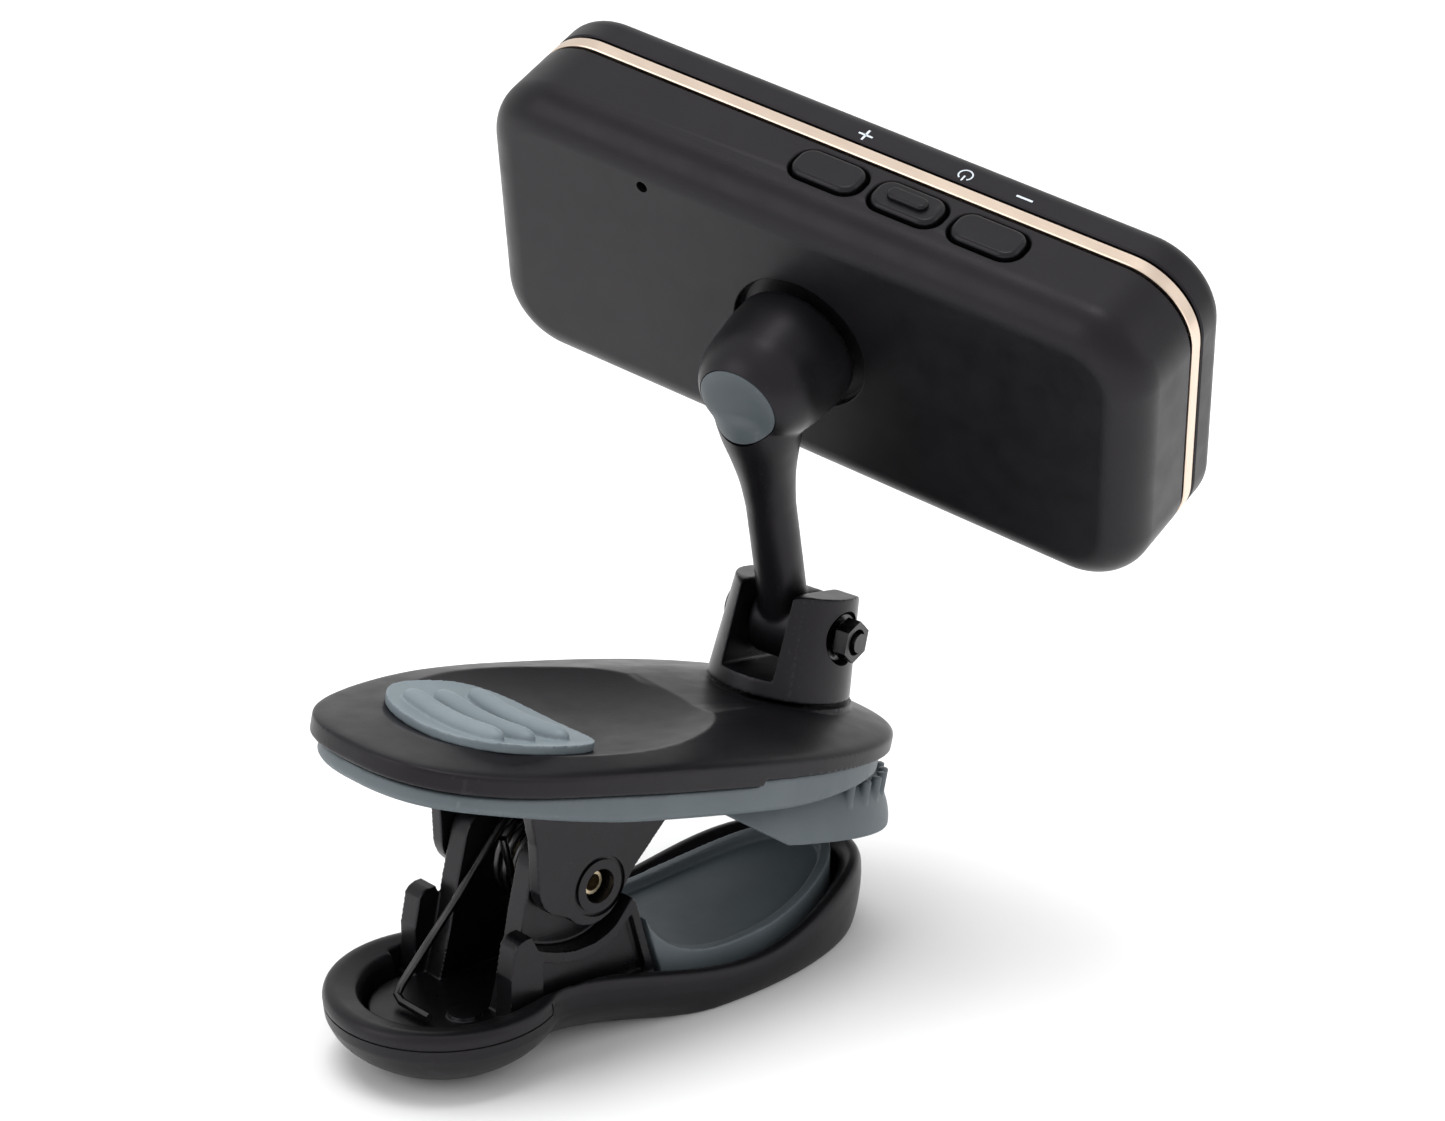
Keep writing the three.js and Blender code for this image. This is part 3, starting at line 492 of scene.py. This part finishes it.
soft_grey = grey_rubber("soft_grey", 1.0)
# Painted light: the thumb pad's rubber is made 1.5 times brighter because it faces up into the light.
thumb_grey_painted_lit = grey_rubber("thumb_grey_painted_lit", 1.5)
# Painted shade: the plug's rubber is made 0.72 times as bright because it faces down, away from the light.
plug_grey_painted_shade = grey_rubber("plug_grey_painted_shade", 0.72)
gold_trim = metal("gold_trim", (0.74, 0.6, 0.49), (0.8, 0.66, 0.54), (0.26, 0.38), (1, 0.05, 0.05))
dark_steel = metal("dark_steel", (0.09, 0.087, 0.085), (0.15, 0.145, 0.14), (0.2, 0.38), (1, 1, 0.2))
black_steel = metal("black_steel", (0.045, 0.043, 0.045), (0.08, 0.077, 0.078), (0.22, 0.36), (1, 1, 0.2))
bright_steel = metal("bright_steel", (0.5, 0.49, 0.46), (0.62, 0.6, 0.57), (0.22, 0.4), (1, 1, 0.2))
pin_brass = metal("pin_brass", (0.5, 0.42, 0.27), (0.62, 0.53, 0.36), (0.24, 0.4), (1, 0.2, 1))
board_green = moulding(
    "board_green", (0.01, 0.07, 0.035), (0.02, 0.1, 0.05), (0.03, 0.12, 0.06),
    (0.35, 0.5), 2500, 0.00002)
cell_wrap = moulding(
    "cell_wrap", (0.2, 0.21, 0.22), (0.28, 0.29, 0.3), (0.35, 0.36, 0.37),
    (0.3, 0.42), 2500, 0.00001)
ink = moulding(
    "printed_ink", (0.42, 0.47, 0.52), (0.5, 0.55, 0.6), (0.5, 0.55, 0.6),
    (0.5, 0.6), 9000, 0.00001)


def clear_display():
    look, nodes, links, shader, place = surface("display_clear")
    tint = ramp(nodes, links, noise(nodes, links, place, 90), (0.006, 0.007, 0.01), (0.01, 0.011, 0.015))
    links.new(tint, shader.inputs["Base Color"])
    links.new(spread(nodes, links, noise(nodes, links, place, 600, 4), 0.05, 0.1), shader.inputs["Roughness"])
    shader.inputs["Coat Weight"].default_value = 0.6
    shader.inputs["Coat Roughness"].default_value = 0.04
    grain(nodes, links, shader, noise(nodes, links, place, 300, 2), 0.05, 0.00001)
    return look


display_clear = clear_display()


# ---------- display head ----------
def deep(depth):
    return BALL_TO_BACK + depth


def head_outline(inward=0.0):
    width, height = HEAD["w"] - 2 * inward, HEAD["h"] - 2 * inward
    return rounded_rectangle(width, height, HEAD["corner"] - inward, steps=20)


def head_block(stations):
    rings = [[(x, y, z) for x, z in head_outline(inward)] for inward, y in stations]
    return loft("head", rings)


def key_x(i):
    return KEYS["first"] + i * KEYS["pitch"]


def key_outline(i, margin=0.0):
    length, width = KEYS["l"] + 2 * margin, KEYS["w"] + 2 * margin
    return rounded_rectangle(length, width, KEYS["corner"] + margin, key_x(i), deep(KEYS["depth"]))


def key_opening(i):
    """A well for a key that flares into a rounded lip at the head's top."""
    top = HEAD["h"] / 2
    stations = [(0.25, -3), (0.25, -0.4), (0.28, -0.22), (0.36, -0.08), (0.5, 0.01), (0.52, 1)]
    return loft("well", [[(x, y, top + z) for x, y in key_outline(i, margin)] for margin, z in stations])


def ball_dish():
    """The round recess in the back that the bulb turns in, with a rounded rim and floor corner."""
    r, floor = DISH["r"], DISH["deep"]
    wall = [(r + 0.2, -2), (r + 0.2, -0.02), (r + 0.06, 0.06), (r, 0.2), (r, 0.7), (r - 0.25, floor)]
    return lathe([(across, deep(depth)) for across, depth in [(0, -2), *wall, (0, floor)]])


def head_back_shell():
    end = deep(BAND["from"] - GAP / 2)
    wall = HEAD["wall"]
    shell = head_block([*rounding(deep(0), end - 0.15, HEAD["back_edge"], 0, 18), (0.12, end)])
    bosses = [rod("y", deep(1), deep(6.9), 2.1, (x, 0, z)) for x, z in SCREW_SPOTS]
    cut(shell, head_block([(wall + 1.2, deep(wall)), (wall, deep(wall + 1.2)), (wall, deep(20))]))
    join(shell, rod("y", deep(1.1), deep(3.1), 5), *bosses)
    usb = rounded_rectangle(3.8, 9.6, 0.5, deep(4.9), 0)
    slot = loft("slot", [[(x, y, z) for y, z in usb] for x in (-HEAD["w"] / 2 - 1, -HEAD["w"] / 2 + 3)])
    hole_x, hole_z, hole_r = RESET_HOLE["x"], RESET_HOLE["z"], RESET_HOLE["r"]
    return cut(shell, *[key_opening(i) for i in range(3)], slot, ball_dish(),
               *[rod("y", deep(3), deep(12), 1.1, (x, 0, z)) for x, z in SCREW_SPOTS],
               rod("y", deep(0.5), deep(12), STUD_R + GAP),
               rod("y", deep(-1), deep(12), hole_r, (hole_x, 0, hole_z)))


def head_front_shell():
    start = deep(BAND["to"] + GAP / 2)
    front = deep(HEAD["d"])
    shell = head_block([(0.12, start), *rounding(start + 0.15, front, 0, HEAD["front_edge"])])
    window = rounded_rectangle(WINDOW["w"], WINDOW["h"], WINDOW["corner"])
    inside = head_block([(HEAD["wall"], deep(0)), (HEAD["wall"], front - 1.3)])
    return cut(shell, inside, standing(window, deep(0), front + 1))


def trim_band():
    start, end = deep(BAND["from"] + GAP / 2), deep(BAND["to"] - GAP / 2)
    ring = head_block([(0.08, start), (0, start + 0.08), (0, end - 0.08), (0.08, end)])
    return cut(ring, head_block([(BAND["wall"], start - 1), (BAND["wall"], end + 1)]))


def key_cap(i):
    top = HEAD["h"] / 2 + KEYS["proud"]
    flange = [(-0.45, top - 2.6), (-0.45, top - 2.3), (0.0, top - 2.25)]
    stations = flange + rounding(top - 2.2, top, 0, 0.42, 8)[1:]
    cap = loft("cap", [[(x, y, z) for x, y in inset(key_outline(i), inward)] for inward, z in stations])
    if i != 1:
        return cap
    ridge = rounded_rectangle(3.5, 1.25, 0.6, key_x(i), deep(KEYS["depth"]))
    return join(cap, slab(ridge, top - 0.3, top + 0.42, 0, 0.26))


def symbol(outline, name):
    """A printed mark on the top of the front shell, a hair proud of it."""
    top = HEAD["h"] / 2
    return piece(slab(outline, top - 0.1, top + 0.02), name, in_head, "head", ink)


def bar(cx, cy, w, h):
    return [(cx + x * w / 2, cy + y * h / 2) for x, y in ((-1, -1), (1, -1), (1, 1), (-1, 1))]


def add_symbols():
    y = deep(HEAD["d"] - 2.5)
    plus, power, minus = (key_x(i) + 0.05 for i in range(3))
    symbol(bar(plus, y, 1.25, 0.18), "mark_plus_across")
    symbol(bar(plus, y, 0.18, 1.25), "mark_plus_up")
    symbol(bar(minus, y, 1.4, 0.2), "mark_minus")
    power += 1.9
    symbol(bar(power, y - 0.4, 0.13, 0.6), "mark_power_bar")
    gap = math.radians(35)
    outer = arc(power, y, 0.62, gap - math.pi / 2, 1.5 * math.pi - gap, 28)
    inner = arc(power, y, 0.5, 1.5 * math.pi - gap, gap - math.pi / 2, 28)
    symbol(outer + inner, "mark_power_ring")


def add_head():
    piece(head_back_shell(), "back_cover", in_head, "head", soft_black, "head_back_shell")
    piece(head_front_shell(), "front_cover", in_head, "head", soft_black, "head_front_shell")
    piece(trim_band(), "metal_band", in_head, "head", gold_trim, "trim_band")
    for i, name in enumerate(("plus", "menu", "minus")):
        piece(key_cap(i), f"key_{name}", in_head, f"{name}_key", satin_black, f"button_{name}")
    add_symbols()


# ---------- ball joint arm ----------
def egged(obj):
    """The bulb's rear narrows from below into an egg shape; y is along the barrel."""
    for v in obj.data.vertices:
        back = max(0.0, -v.co.y)
        v.co.z = v.co.z * (1 - BULB["squash"] * back) + BULB["lift"] * back
    obj.data.transform(in_arm.inverted() @ in_barrel)
    return obj


def bulb_form():
    front = BULB["front"]
    side = rounded_profile([(0, -4.75), (2.2, -4.6), (3.4, -4.2), (4.3, -3.2), (4.9, -1.7), (5.1, 0),
                            (5.3, 2), (5.3, front - 0.3)])
    return egged(lathe([*side, (5, front), (0, front)]))


def arm_form():
    flare = rounded_profile([(ROD_R, 12), (2.25, 14.6), (2.7, 16.8), (3.2, 18.8), (3.5, 20.6), (3.5, 22)])
    stem = lathe([(0, 0), (ROD_R, 0), *flare, (0, 22)])
    lean = Matrix.Rotation(math.pi / 2 + math.radians(STEM["lean"]), 4, "X")
    stem.data.transform(Matrix.Translation((0, -STEM["back"], 0)) @ lean)
    return join(bulb_form(), stem, rod("x", -EYE["half"], EYE["half"], EYE["r"]))


def plug_bar(radius, seat):
    """A bar along the barrel, from behind the bulb to the plug's seat."""
    return egged(lathe([(0, -9), (radius, -9), (radius, seat), (0, seat)]))


def arm():
    body = moulded(arm_form(), 0.12, 22)
    r, floor = BULB["bore"], BULB["floor"]
    bore = lathe([(0, -6), (2.95, -6), (2.95, floor), (r, floor), (r, 5), (0, 5)])
    bore.data.transform(in_arm.inverted() @ in_barrel)
    return cut(body, bore, plug_bar(BULB["plug_r"] + 0.09, BULB["plug_seat"]), rod("x", -5, 5, BOLT_R + GAP))


def arm_plug():
    return common(moulded(arm_form(), 0.12, 70), plug_bar(BULB["plug_r"], BULB["plug_seat"] - GAP / 2))


def add_arm():
    piece(arm(), "arm_body_cover", in_arm, "arm_body", soft_black, "arm")
    # The end cap takes the grey rubber darkened as painted shade.
    piece(arm_plug(), "arm_end_cap", in_arm, "arm_body", plug_grey_painted_shade, "arm_plug")


# ---------- turret ----------
def turret():
    top = EAR["top"]
    side = [
        (-7, -4), (7, -4), (7, 0), (TURRET_R, 1.4), (3.5, 7.2),
        *quadratic((3.5, 7.2), (2.9, top), (1.4, top)), (-3.2, top),
        *quadratic((-3.2, top), (-4.8, top), (-5, 7.2)), (-TURRET_R, 1.4), (-7, 0),
    ]
    ears = loft("ears", [[(x, y, z) for y, z in side] for x in (-8, 8)])
    body = common(rod("z", GAP, top, TURRET_R, (0, 0, 0), 96, 5.05), ears)
    join(body, rod("z", -2.6, 1, 2.4))
    cut(body, box(-EAR["inner"], EAR["inner"], -9, 9, 1.7, 20))
    moulded(body, 0.1, 8)
    high = (0, 0, HINGE_HEIGHT)
    return cut(body, rod("x", -9, 9, BOLT_R + GAP, high), rod("x", EAR["seat"], 9, 2.2, high),
               rod("x", -9, -EAR["seat"], 2.0, high), rod("z", -5, 0.9, 0.7 + GAP))


# ---------- upper lever ----------
def drooped(obj):
    """The lever's handle end bends down a little."""
    for v in obj.data.vertices:
        v.co.z -= LEVER["droop"] * smooth((-4 - v.co.x) / 16)
    return obj


def bowl_height(x, y):
    """The scoop's surface, a spherical bowl stretched along the lever."""
    depth, half = SCOOP["deep"], SCOOP["ry"]
    sphere = (half * half + depth * depth) / (2 * depth)
    away = math.hypot((x - SCOOP["x"]) * half / SCOOP["rx"], y)
    return sphere - depth - math.sqrt(sphere * sphere - away * away)


def scoop(raised=0.0):
    """A cutter that leaves the bowl, or a surface raised above it."""
    rx, ry = SCOOP["rx"], SCOOP["ry"]
    profile = [(ry * i / 24, bowl_height(SCOOP["x"], ry * i / 24)) for i in range(25)]
    bowl = lathe([*profile, (ry + 0.5, 3), (0, 3)], 160)
    bowl.data.transform(Matrix.Diagonal((rx / ry, 1, 1, 1)) @ Matrix.Rotation(math.pi / 2, 4, "X"))
    bowl.data.transform(Matrix.Translation((SCOOP["x"], 0, FOOT["z"] + raised)))
    return bowl


def upper_lever_shell():
    profile = rounded_profile([(0.1, LEVER["part"]), (0, 9.95), (0, 11.3), (0.15, 11.6), (0.55, 11.82),
                               (1.4, 12.02), (3.5, 12.42), (6, 12.88), (8, FOOT["z"])], 3)
    rings = []
    for inward, z in profile:
        rings.append([(x, y, z - max(0.0, (z - 10.9) / 2.1) * LEVER["sag"] * smooth((2 - x) / 18))
                      for x, y in lever_outline(inward)])
    block = loft("lever", rings)
    join(block, rod("z", 11, FOOT["z"], TURRET_R + 0.2, (FOOT["x"], 0, 0), 96))
    under = common(slab(lever_outline(1.6), 8, LEVER["roof"]), box(12, 40, -20, 20, 0, 20))
    cut(block, box(LEVER["step_x"], 50, -20, 20, 0, LEVER["part"] + LEVER["step"]), under, scoop())
    drooped(moulded(block, 0.13, 3))
    return cut(block, rod("z", 8, 20, 2.4 + GAP, (FOOT["x"], 0, 0)))


def thumb_rib(x):
    """A round rib across the lever, lying along the pad's dished top and thinning to its ends."""
    half, radius = RIB["half"], RIB["r"]
    rings = []
    for i in range(41):
        along = -math.cos(math.pi * i / 40)
        r = radius * max(0.02, 1 - along ** 8) ** 0.5
        y = half * along
        middle = FOOT["z"] + bowl_height(x, y) + THUMB["thick"] + RIB["proud"] - radius
        rings.append([(u, y, v) for u, v in arc(x, middle, r, 0, 2 * math.pi * 31 / 32, 31)])
    return loft("rib", rings)


def thumb_pad():
    oval = slab(superellipse(THUMB["x"], THUMB["rx"], THUMB["ry"], 2.6, 120), 9, 16)
    pad = cut(common(oval, scoop(THUMB["seat"])), scoop(THUMB["seat"] + THUMB["thick"]))
    return drooped(moulded(join(pad, *[thumb_rib(x) for x in THUMB["ribs"]]), 0.09, 6))


def upper_lever_liner():
    def bottom(x):
        return LEVER["liner"] - LEVER["bow"] * smooth((x + 17) / 14) * smooth((26 - x) / 14)

    def level(inward, height):
        return [(x, y, height(x)) for x, y in lever_outline(inward)]

    top = LEVER["part"] - GAP
    plate = loft("liner", [level(1.6, bottom), level(1.1, lambda x: bottom(x) + 0.1),
                           level(0.75, lambda x: bottom(x) + 0.5), level(0.75, lambda x: top)])
    step = common(slab(lever_outline(0.75), LEVER["part"] - 1, top + LEVER["step"]),
                  box(LEVER["step_x"] + GAP, 40, -20, 20, 0, 20))
    join(plate, step)
    cut(plate, slab(lever_outline(3), 5, LEVER["liner"]))
    return cut(drooped(moulded(plate, 0.13, 8)), rod("z", LEVER["liner"] + 0.55, 12, 4.1, (FOOT["x"], 0, 0)))


def upper_frame():
    top = LEVER["frame_top"]
    cheek = [
        (7.4, top), (-8.9, top), (-8.3, 6), (-7.2, 3.6), (-6.1, -0.2),
        *quadratic((-6.1, -0.2), (-5.6, -1.5), (-4.4, -2)),
        *arc(-0.6, -0.1, 3.05, 1.28 * math.pi, 1.88 * math.pi, 24), (3.2, 1.2),
    ]
    plate = box(-9.6, 7.4, 0.1 - CHEEK["outer"], CHEEK["outer"] - 0.1, top - 1.5, top)
    for side in (-1, 1):
        near, far = sorted((side * CHEEK["inner"], side * CHEEK["outer"]))
        join(plate, standing(cheek, near, far))
    moulded(plate, 0.1, 5)
    grooves = []
    for side in (-1, 1):
        face = side * CHEEK["outer"]
        groove = cut(rod("y", face - 0.25, face + 0.25, 2.5, (0, 0, 0), 72),
                     rod("y", face - 1, face + 1, 2.15, (0, 0, 0), 72))
        grooves.append(groove)
    return cut(plate, *grooves, rod("y", -9, 9, PIN["r"] + GAP))


def upper_jaw_pad():
    top, face = LEVER["pad_top"], JAW["face"]
    side = [(7.8, top), (9, 6.2), (17.2, face), (36, face), (36, top)]
    plan = superellipse(JAW["cx"], JAW["a"], JAW["b"], 2.5, 140)
    tall = top - face
    rings = []
    for k in range(12):
        inward = 2.4 * (1 - math.cos(math.pi / 2 * k / 12))
        rings.append([(x, y, face + tall * k / 12) for x, y in inset(plan, inward)])
    rings.append([(x, y, top) for x, y in inset(plan, 2.4)])
    block = loft("pad", rings)
    flutes = []
    for turn in range(-77, 78, 11):
        c, s = math.cos(math.radians(turn)), math.sin(math.radians(turn))
        at = (JAW["cx"] + (JAW["a"] - 1.1) * math.copysign(abs(c) ** 0.8, c),
              (JAW["b"] - 1.1) * math.copysign(abs(s) ** 0.8, s), 0)
        flutes.append(rod("z", top - 2.9, top - 0.3, 0.42, at, 32))
    join(block, *flutes)
    common(block, standing(side, -15, 15))
    return moulded(block, 0.11, 6)


def add_lever():
    piece(upper_lever_shell(), "lever_top", in_lever, "upper_lever", soft_black, "upper_lever_shell")
    # The thumb pad takes the grey rubber brightened as painted light.
    piece(thumb_pad(), "ribbed_thumb_pad", in_lever, "upper_lever", thumb_grey_painted_lit, "thumb_pad")
    piece(upper_lever_liner(), "lever_underside", in_lever, "upper_lever", soft_grey, "upper_lever_liner")
    piece(upper_frame(), "lever_cheeks", in_lever, "upper_lever", satin_black, "upper_frame")
    piece(upper_jaw_pad(), "upper_jaw_rubber", in_lever, "upper_lever", soft_grey, "upper_jaw_pad")
    piece(turret(), "turret_cover", in_turret, "turret_body", satin_black, "turret")


# ---------- lower clip ----------
def above_floor(height):
    return height - PIVOT_Z


def rim_height(x):
    if x < CLIP["jaw_x"]:
        return 3.25 + 2.95 * smooth((CLIP["jaw_x"] - x) / 19)
    return 3.25 + 2.55 * smooth((x - CLIP["jaw_x"]) / 15)


def rim_width(x):
    return CLIP["wall"] - 1.1 * smooth((x + 7) / 9)


def lower_shell():
    outline = clip_outline()
    moved = inset(outline, 1)

    def ring(inward, height):
        points = []
        for (x, y), (mx, my) in zip(outline, moved):
            step = inward(x)
            points.append((x + (mx - x) * step, y + (my - y) * step, above_floor(height(x))))
        return points

    def undercut(x):
        return 1 - 0.88 * smooth((x + 4) / 14)

    def lift(x):
        return 0.8 * smooth((x - 26) / 6)

    def outside(inward, z):
        return ring(lambda x: inward * undercut(x), lambda x: z * (rim_height(x) - 1) / 5.2 + lift(x))

    def over(inward, drop):
        return ring(lambda x: inward, lambda x: rim_height(x) + drop)

    low = rounded_profile([(5.4, 0), (4.2, 0.4), (3, 1), (1.6, 2), (0.7, 3), (0.2, 4)], 4)
    rings = [outside(inward, z) for inward, z in low]
    lip = ((0.05, -0.8), (0.12, -0.45), (0.25, -0.2), (0.45, -0.06), (0.75, 0), (1, 0))
    rings += [over(inward, drop) for inward, drop in lip]
    rings.append(ring(lambda x: rim_width(x) - 0.4, lambda x: rim_height(x) - 0.45))
    rings.append(ring(rim_width, lambda x: rim_height(x) - 1))
    rings.append(ring(lambda x: rim_width(x) + 0.15, lambda x: TRAY_FLOOR))
    shell = loft("tray", rings)
    half = POCKET["half"]
    cut(shell, box(POCKET["from"], POCKET["to"], -half, half, above_floor(POCKET["floor"]), 0))
    return cut(moulded(shell, 0.14, 4), *rim_seam(outline))


def rim_seam(outline):
    """Cutters for the fine line round the handle's rim, where its cover meets the tray."""
    low, end, wide = above_floor(SEAM["height"]), SEAM["x"], SEAM["wide"]
    outside = cut(slab(inset(outline, -1), low, low + wide),
                  slab(inset(outline, SEAM["deep"]), low - 1, low + 1))
    line = common(outside, box(-30, end, -20, 20, low - 1, low + 1))
    half = math.sqrt(CLIP["handle_r"] ** 2 - (end - CLIP["handle_x"]) ** 2) - SEAM["deep"]
    steps = [box(end - wide, end, *sorted((side * half, side * 12)), low, low + 3) for side in (-1, 1)]
    return [line, *steps]


def lower_frame():
    floor = above_floor(FRAME_FLOOR)
    plate = common(slab(inset(clip_outline(), CLIP["wall"] + 0.5), above_floor(TRAY_FLOOR + GAP), floor),
                   box(-30, 4.9, -9, 9, -20, 20))
    half = POCKET["half"] - 0.2
    flange = box(POCKET["from"] + 0.6, 5.1, -half, half, above_floor(POCKET["floor"] + GAP), floor)
    base = floor - 0.2
    upright = [
        (-8.4, base), (-7.2, -5), (-6.3, -1), (-5.4, 2.4),
        *quadratic((-5.4, 2.4), (-5.1, 3.5), (-4, 4.1)), *quadratic((-4, 4.1), (3.2, 6.1), (3.2, 0)),
        (3, -2.4), (4.4, base),
    ]
    saddle = [
        (-9.3, base), (-9.1, -4.8), (-8.6, -2.5), *quadratic((-8.6, -2.5), (-8.4, -2), (-7.7, -1.9)),
        (-7, -1.9), (-6.4, -3.2), *quadratic((-6.4, -3.2), (-1.6, -5.6), (1.4, -3.6)),
        (3, -1.9), (3.4, -2.4), (5.1, -8.5), (5.1, base),
    ]
    recess = [
        (-6, base + 0.4), (-5.9, -4.4), *quadratic((-5.9, -4.4), (-1.4, -6.4), (1.2, -4.7)),
        (2.9, -3.3), (4.2, -8), (4.2, base + 0.4),
    ]
    join(plate, flange)
    for side in (-1, 1):
        join(plate, standing(upright, *sorted((side * UPRIGHT["inner"], side * UPRIGHT["outer"]))))
        wall = standing(saddle, *sorted((side * (UPRIGHT["outer"] - 0.1), side * SADDLE["outer"])))
        join(plate, cut(wall, standing(recess, *sorted((side * SADDLE["panel"], side * 9)))))
    join(plate, rod("z", floor - 0.5, floor + 0.3, 1.3, (-10.4, -2.6, 0)))
    return cut(moulded(plate, 0.1, 4), rod("y", -9, 9, PIN["r"] + GAP))


def lower_jaw_pad():
    half = 7
    outline = inset(clip_outline(), 2.6)
    low = above_floor(TRAY_FLOOR + GAP)

    def side(drop):
        start = (4.3 + drop * 0.9, -2.9)
        middle = (14, -9.1 - drop)
        return [(6.3, low), (6.1, -9.4 - drop), start,
                *cubic(start, (5.2 + drop * 0.6, -7.2 - drop), (8.5, middle[1]), middle),
                *cubic(middle, (20, middle[1]), (24, -7.6 - drop), (29, -6.4 - drop)), (29, low)]

    body = common(slab(outline, -12, 0), standing(side(0), -half, half))
    inner = cut(box(5, 30, -half, half, -11, 0), standing(side(0.9), -9, 9))
    return moulded(cut(body, common(slab(inset(outline, 0.9), -12, 0), inner)), 0.11, 6)


def torsion_spring():
    """Round wire: a short leg to the lever, the coil round the pin, a long leg to a foot on the tray."""
    r, turns = SPRING["r"], SPRING["turns"]
    first, last = math.radians(-114), math.radians(135.6 + 360 * (turns - 1))
    path = [(-5.4, SPRING["from"], 4.0), (-4.6, SPRING["from"], 0.8)]
    for i in range(turns * 24 + 1):
        t = i / (turns * 24)
        a = first + (last - first) * t
        path.append((r * math.cos(a), SPRING["from"] + (SPRING["to"] - SPRING["from"]) * t, r * math.sin(a)))
    path += [(-6.6, 2.5, -1.8), (-12.5, 2.4, -7.5), (-13.1, 2.2, -8.1)]
    path += [(-13.3, 1.4, -8.35), (-13.3, -2, -8.35)]
    curve = bpy.data.curves.new("wire", "CURVE")
    curve.dimensions = "3D"
    curve.bevel_depth = SPRING["wire"]
    curve.bevel_resolution = 5
    curve.use_fill_caps = True
    line = curve.splines.new("POLY")
    line.points.add(len(path) - 1)
    for spot, at in zip(line.points, path):
        spot.co = (*at, 1)
    drawn = bpy.data.objects.new("wire", curve)
    bpy.context.scene.collection.objects.link(drawn)
    wire = bpy.data.objects.new("spring", bpy.data.meshes.new_from_object(drawn))
    bpy.context.scene.collection.objects.link(wire)
    bpy.data.objects.remove(drawn)
    return wire


def pivot_pin():
    r, half, edge = PIN["r"], PIN["half"], 0.15
    tube = lathe([(0, -half), (r - edge, -half), (r, edge - half),
                  (r, half - edge), (r - edge, half), (0, half)], 64)
    return cut(tube, rod("y", -9, 9, PIN["bore"]))


def add_lower_clip():
    piece(lower_shell(), "clip_tray", in_clip, "lower_clip", soft_black, "lower_shell")
    piece(lower_frame(), "clip_frame", in_clip, "lower_clip", satin_black, "lower_frame")
    piece(lower_jaw_pad(), "lower_jaw_rubber", in_clip, "lower_clip", soft_grey, "lower_jaw_pad")
    piece(torsion_spring(), "wire_spring", in_clip, "lower_clip", black_steel, "torsion_spring")
    piece(pivot_pin(), "hollow_pin", in_clip, "lower_clip", pin_brass, "pivot_pin")


# ---------- nodes carried over from the frame ----------
CARRIED = {
    "turret_washer": bright_steel, "turret_screw": bright_steel,
    "hinge_bolt": black_steel, "hinge_washer": black_steel, "hinge_nut": black_steel,
    "socket_liner": satin_black, "ball_stud": dark_steel, "stud_nut": bright_steel,
    "display_lens": display_clear, "display_module": satin_black, "circuit_board": board_green,
    "battery_cell": cell_wrap, "piezo_sensor": pin_brass, "usb_socket": bright_steel,
    "switch_reset": satin_black, "switch_plus": satin_black, "switch_menu": satin_black,
    "switch_minus": satin_black, "board_screw_left": bright_steel, "board_screw_right": bright_steel,
}


def finish_carried():
    for name, look in CARRIED.items():
        obj = frame["nodes"][name]
        for slot in obj.material_slots:
            slot.material = look
        edge = obj.modifiers.new("edge", "BEVEL")
        edge.width = 0.08 * MM
        edge.segments = 2
        edge.limit_method = "ANGLE"
        edge.angle_limit = math.radians(40)
        weigh = obj.modifiers.new("weigh", "WEIGHTED_NORMAL")
        weigh.keep_sharp = True


# ---------- studio ----------
CAMERA = {"at": (-0.17205, -0.22311, 0.15525), "turn": 42.0, "down": 22.16, "lens": 102.96}


def add_camera():
    lens = bpy.data.cameras.new("camera")
    lens.lens = CAMERA["lens"]
    lens.sensor_width = 36
    camera = bpy.data.objects.new("camera", lens)
    camera.location = CAMERA["at"]
    camera.rotation_euler = (math.radians(90 - CAMERA["down"]), 0, math.radians(-CAMERA["turn"]))
    bpy.context.scene.collection.objects.link(camera)
    bpy.context.scene.camera = camera


def add_floor():
    floor = mesh_object("floor", [(-3, -3, 0), (3, -3, 0), (3, 3, 0), (-3, 3, 0)], [(0, 1, 2, 3)])
    look, nodes, links, shader, place = surface("floor")
    colour = ramp(nodes, links, noise(nodes, links, place, 3), (0.77, 0.77, 0.77), (0.79, 0.79, 0.79))
    links.new(colour, shader.inputs["Base Color"])
    shader.inputs["Roughness"].default_value = 0.9
    floor.data.materials.append(look)


def area_light(name, at, target, size, power):
    lamp = bpy.data.lights.new(name, "AREA")
    lamp.shape = "RECTANGLE"
    lamp.size, lamp.size_y = size
    lamp.energy = power
    obj = bpy.data.objects.new(name, lamp)
    obj.location = at
    obj.rotation_euler = (Vector(target) - Vector(at)).to_track_quat("-Z", "Y").to_euler()
    bpy.context.scene.collection.objects.link(obj)
    return obj


def add_lights():
    world = bpy.data.worlds.new("world")
    world.use_nodes = True
    background = next(n for n in world.node_tree.nodes if n.type == "BACKGROUND")
    background.inputs["Color"].default_value = (1, 1, 1, 1)
    background.inputs["Strength"].default_value = 0.9
    bpy.context.scene.world = world
    middle = (0.03, 0, 0.03)
    overhead = area_light("overhead", (0.05, 0.1, 0.7), middle, (0.7, 0.5), 5.0)
    overhead.visible_glossy = False
    area_light("sheen", (0.02, -0.02, 0.75), middle, (0.22, 0.22), 0.7)
    area_light("left", (-0.6, 0.15, 0.35), middle, (0.4, 0.5), 1.0)
    area_light("right", (0.35, -0.55, 0.3), middle, (0.25, 0.5), 0.3)
    bpy.context.scene.view_settings.view_transform = "Standard"


add_camera()
add_floor()
add_lights()
add_head()
add_arm()
add_lever()
add_lower_clip()
finish_carried()
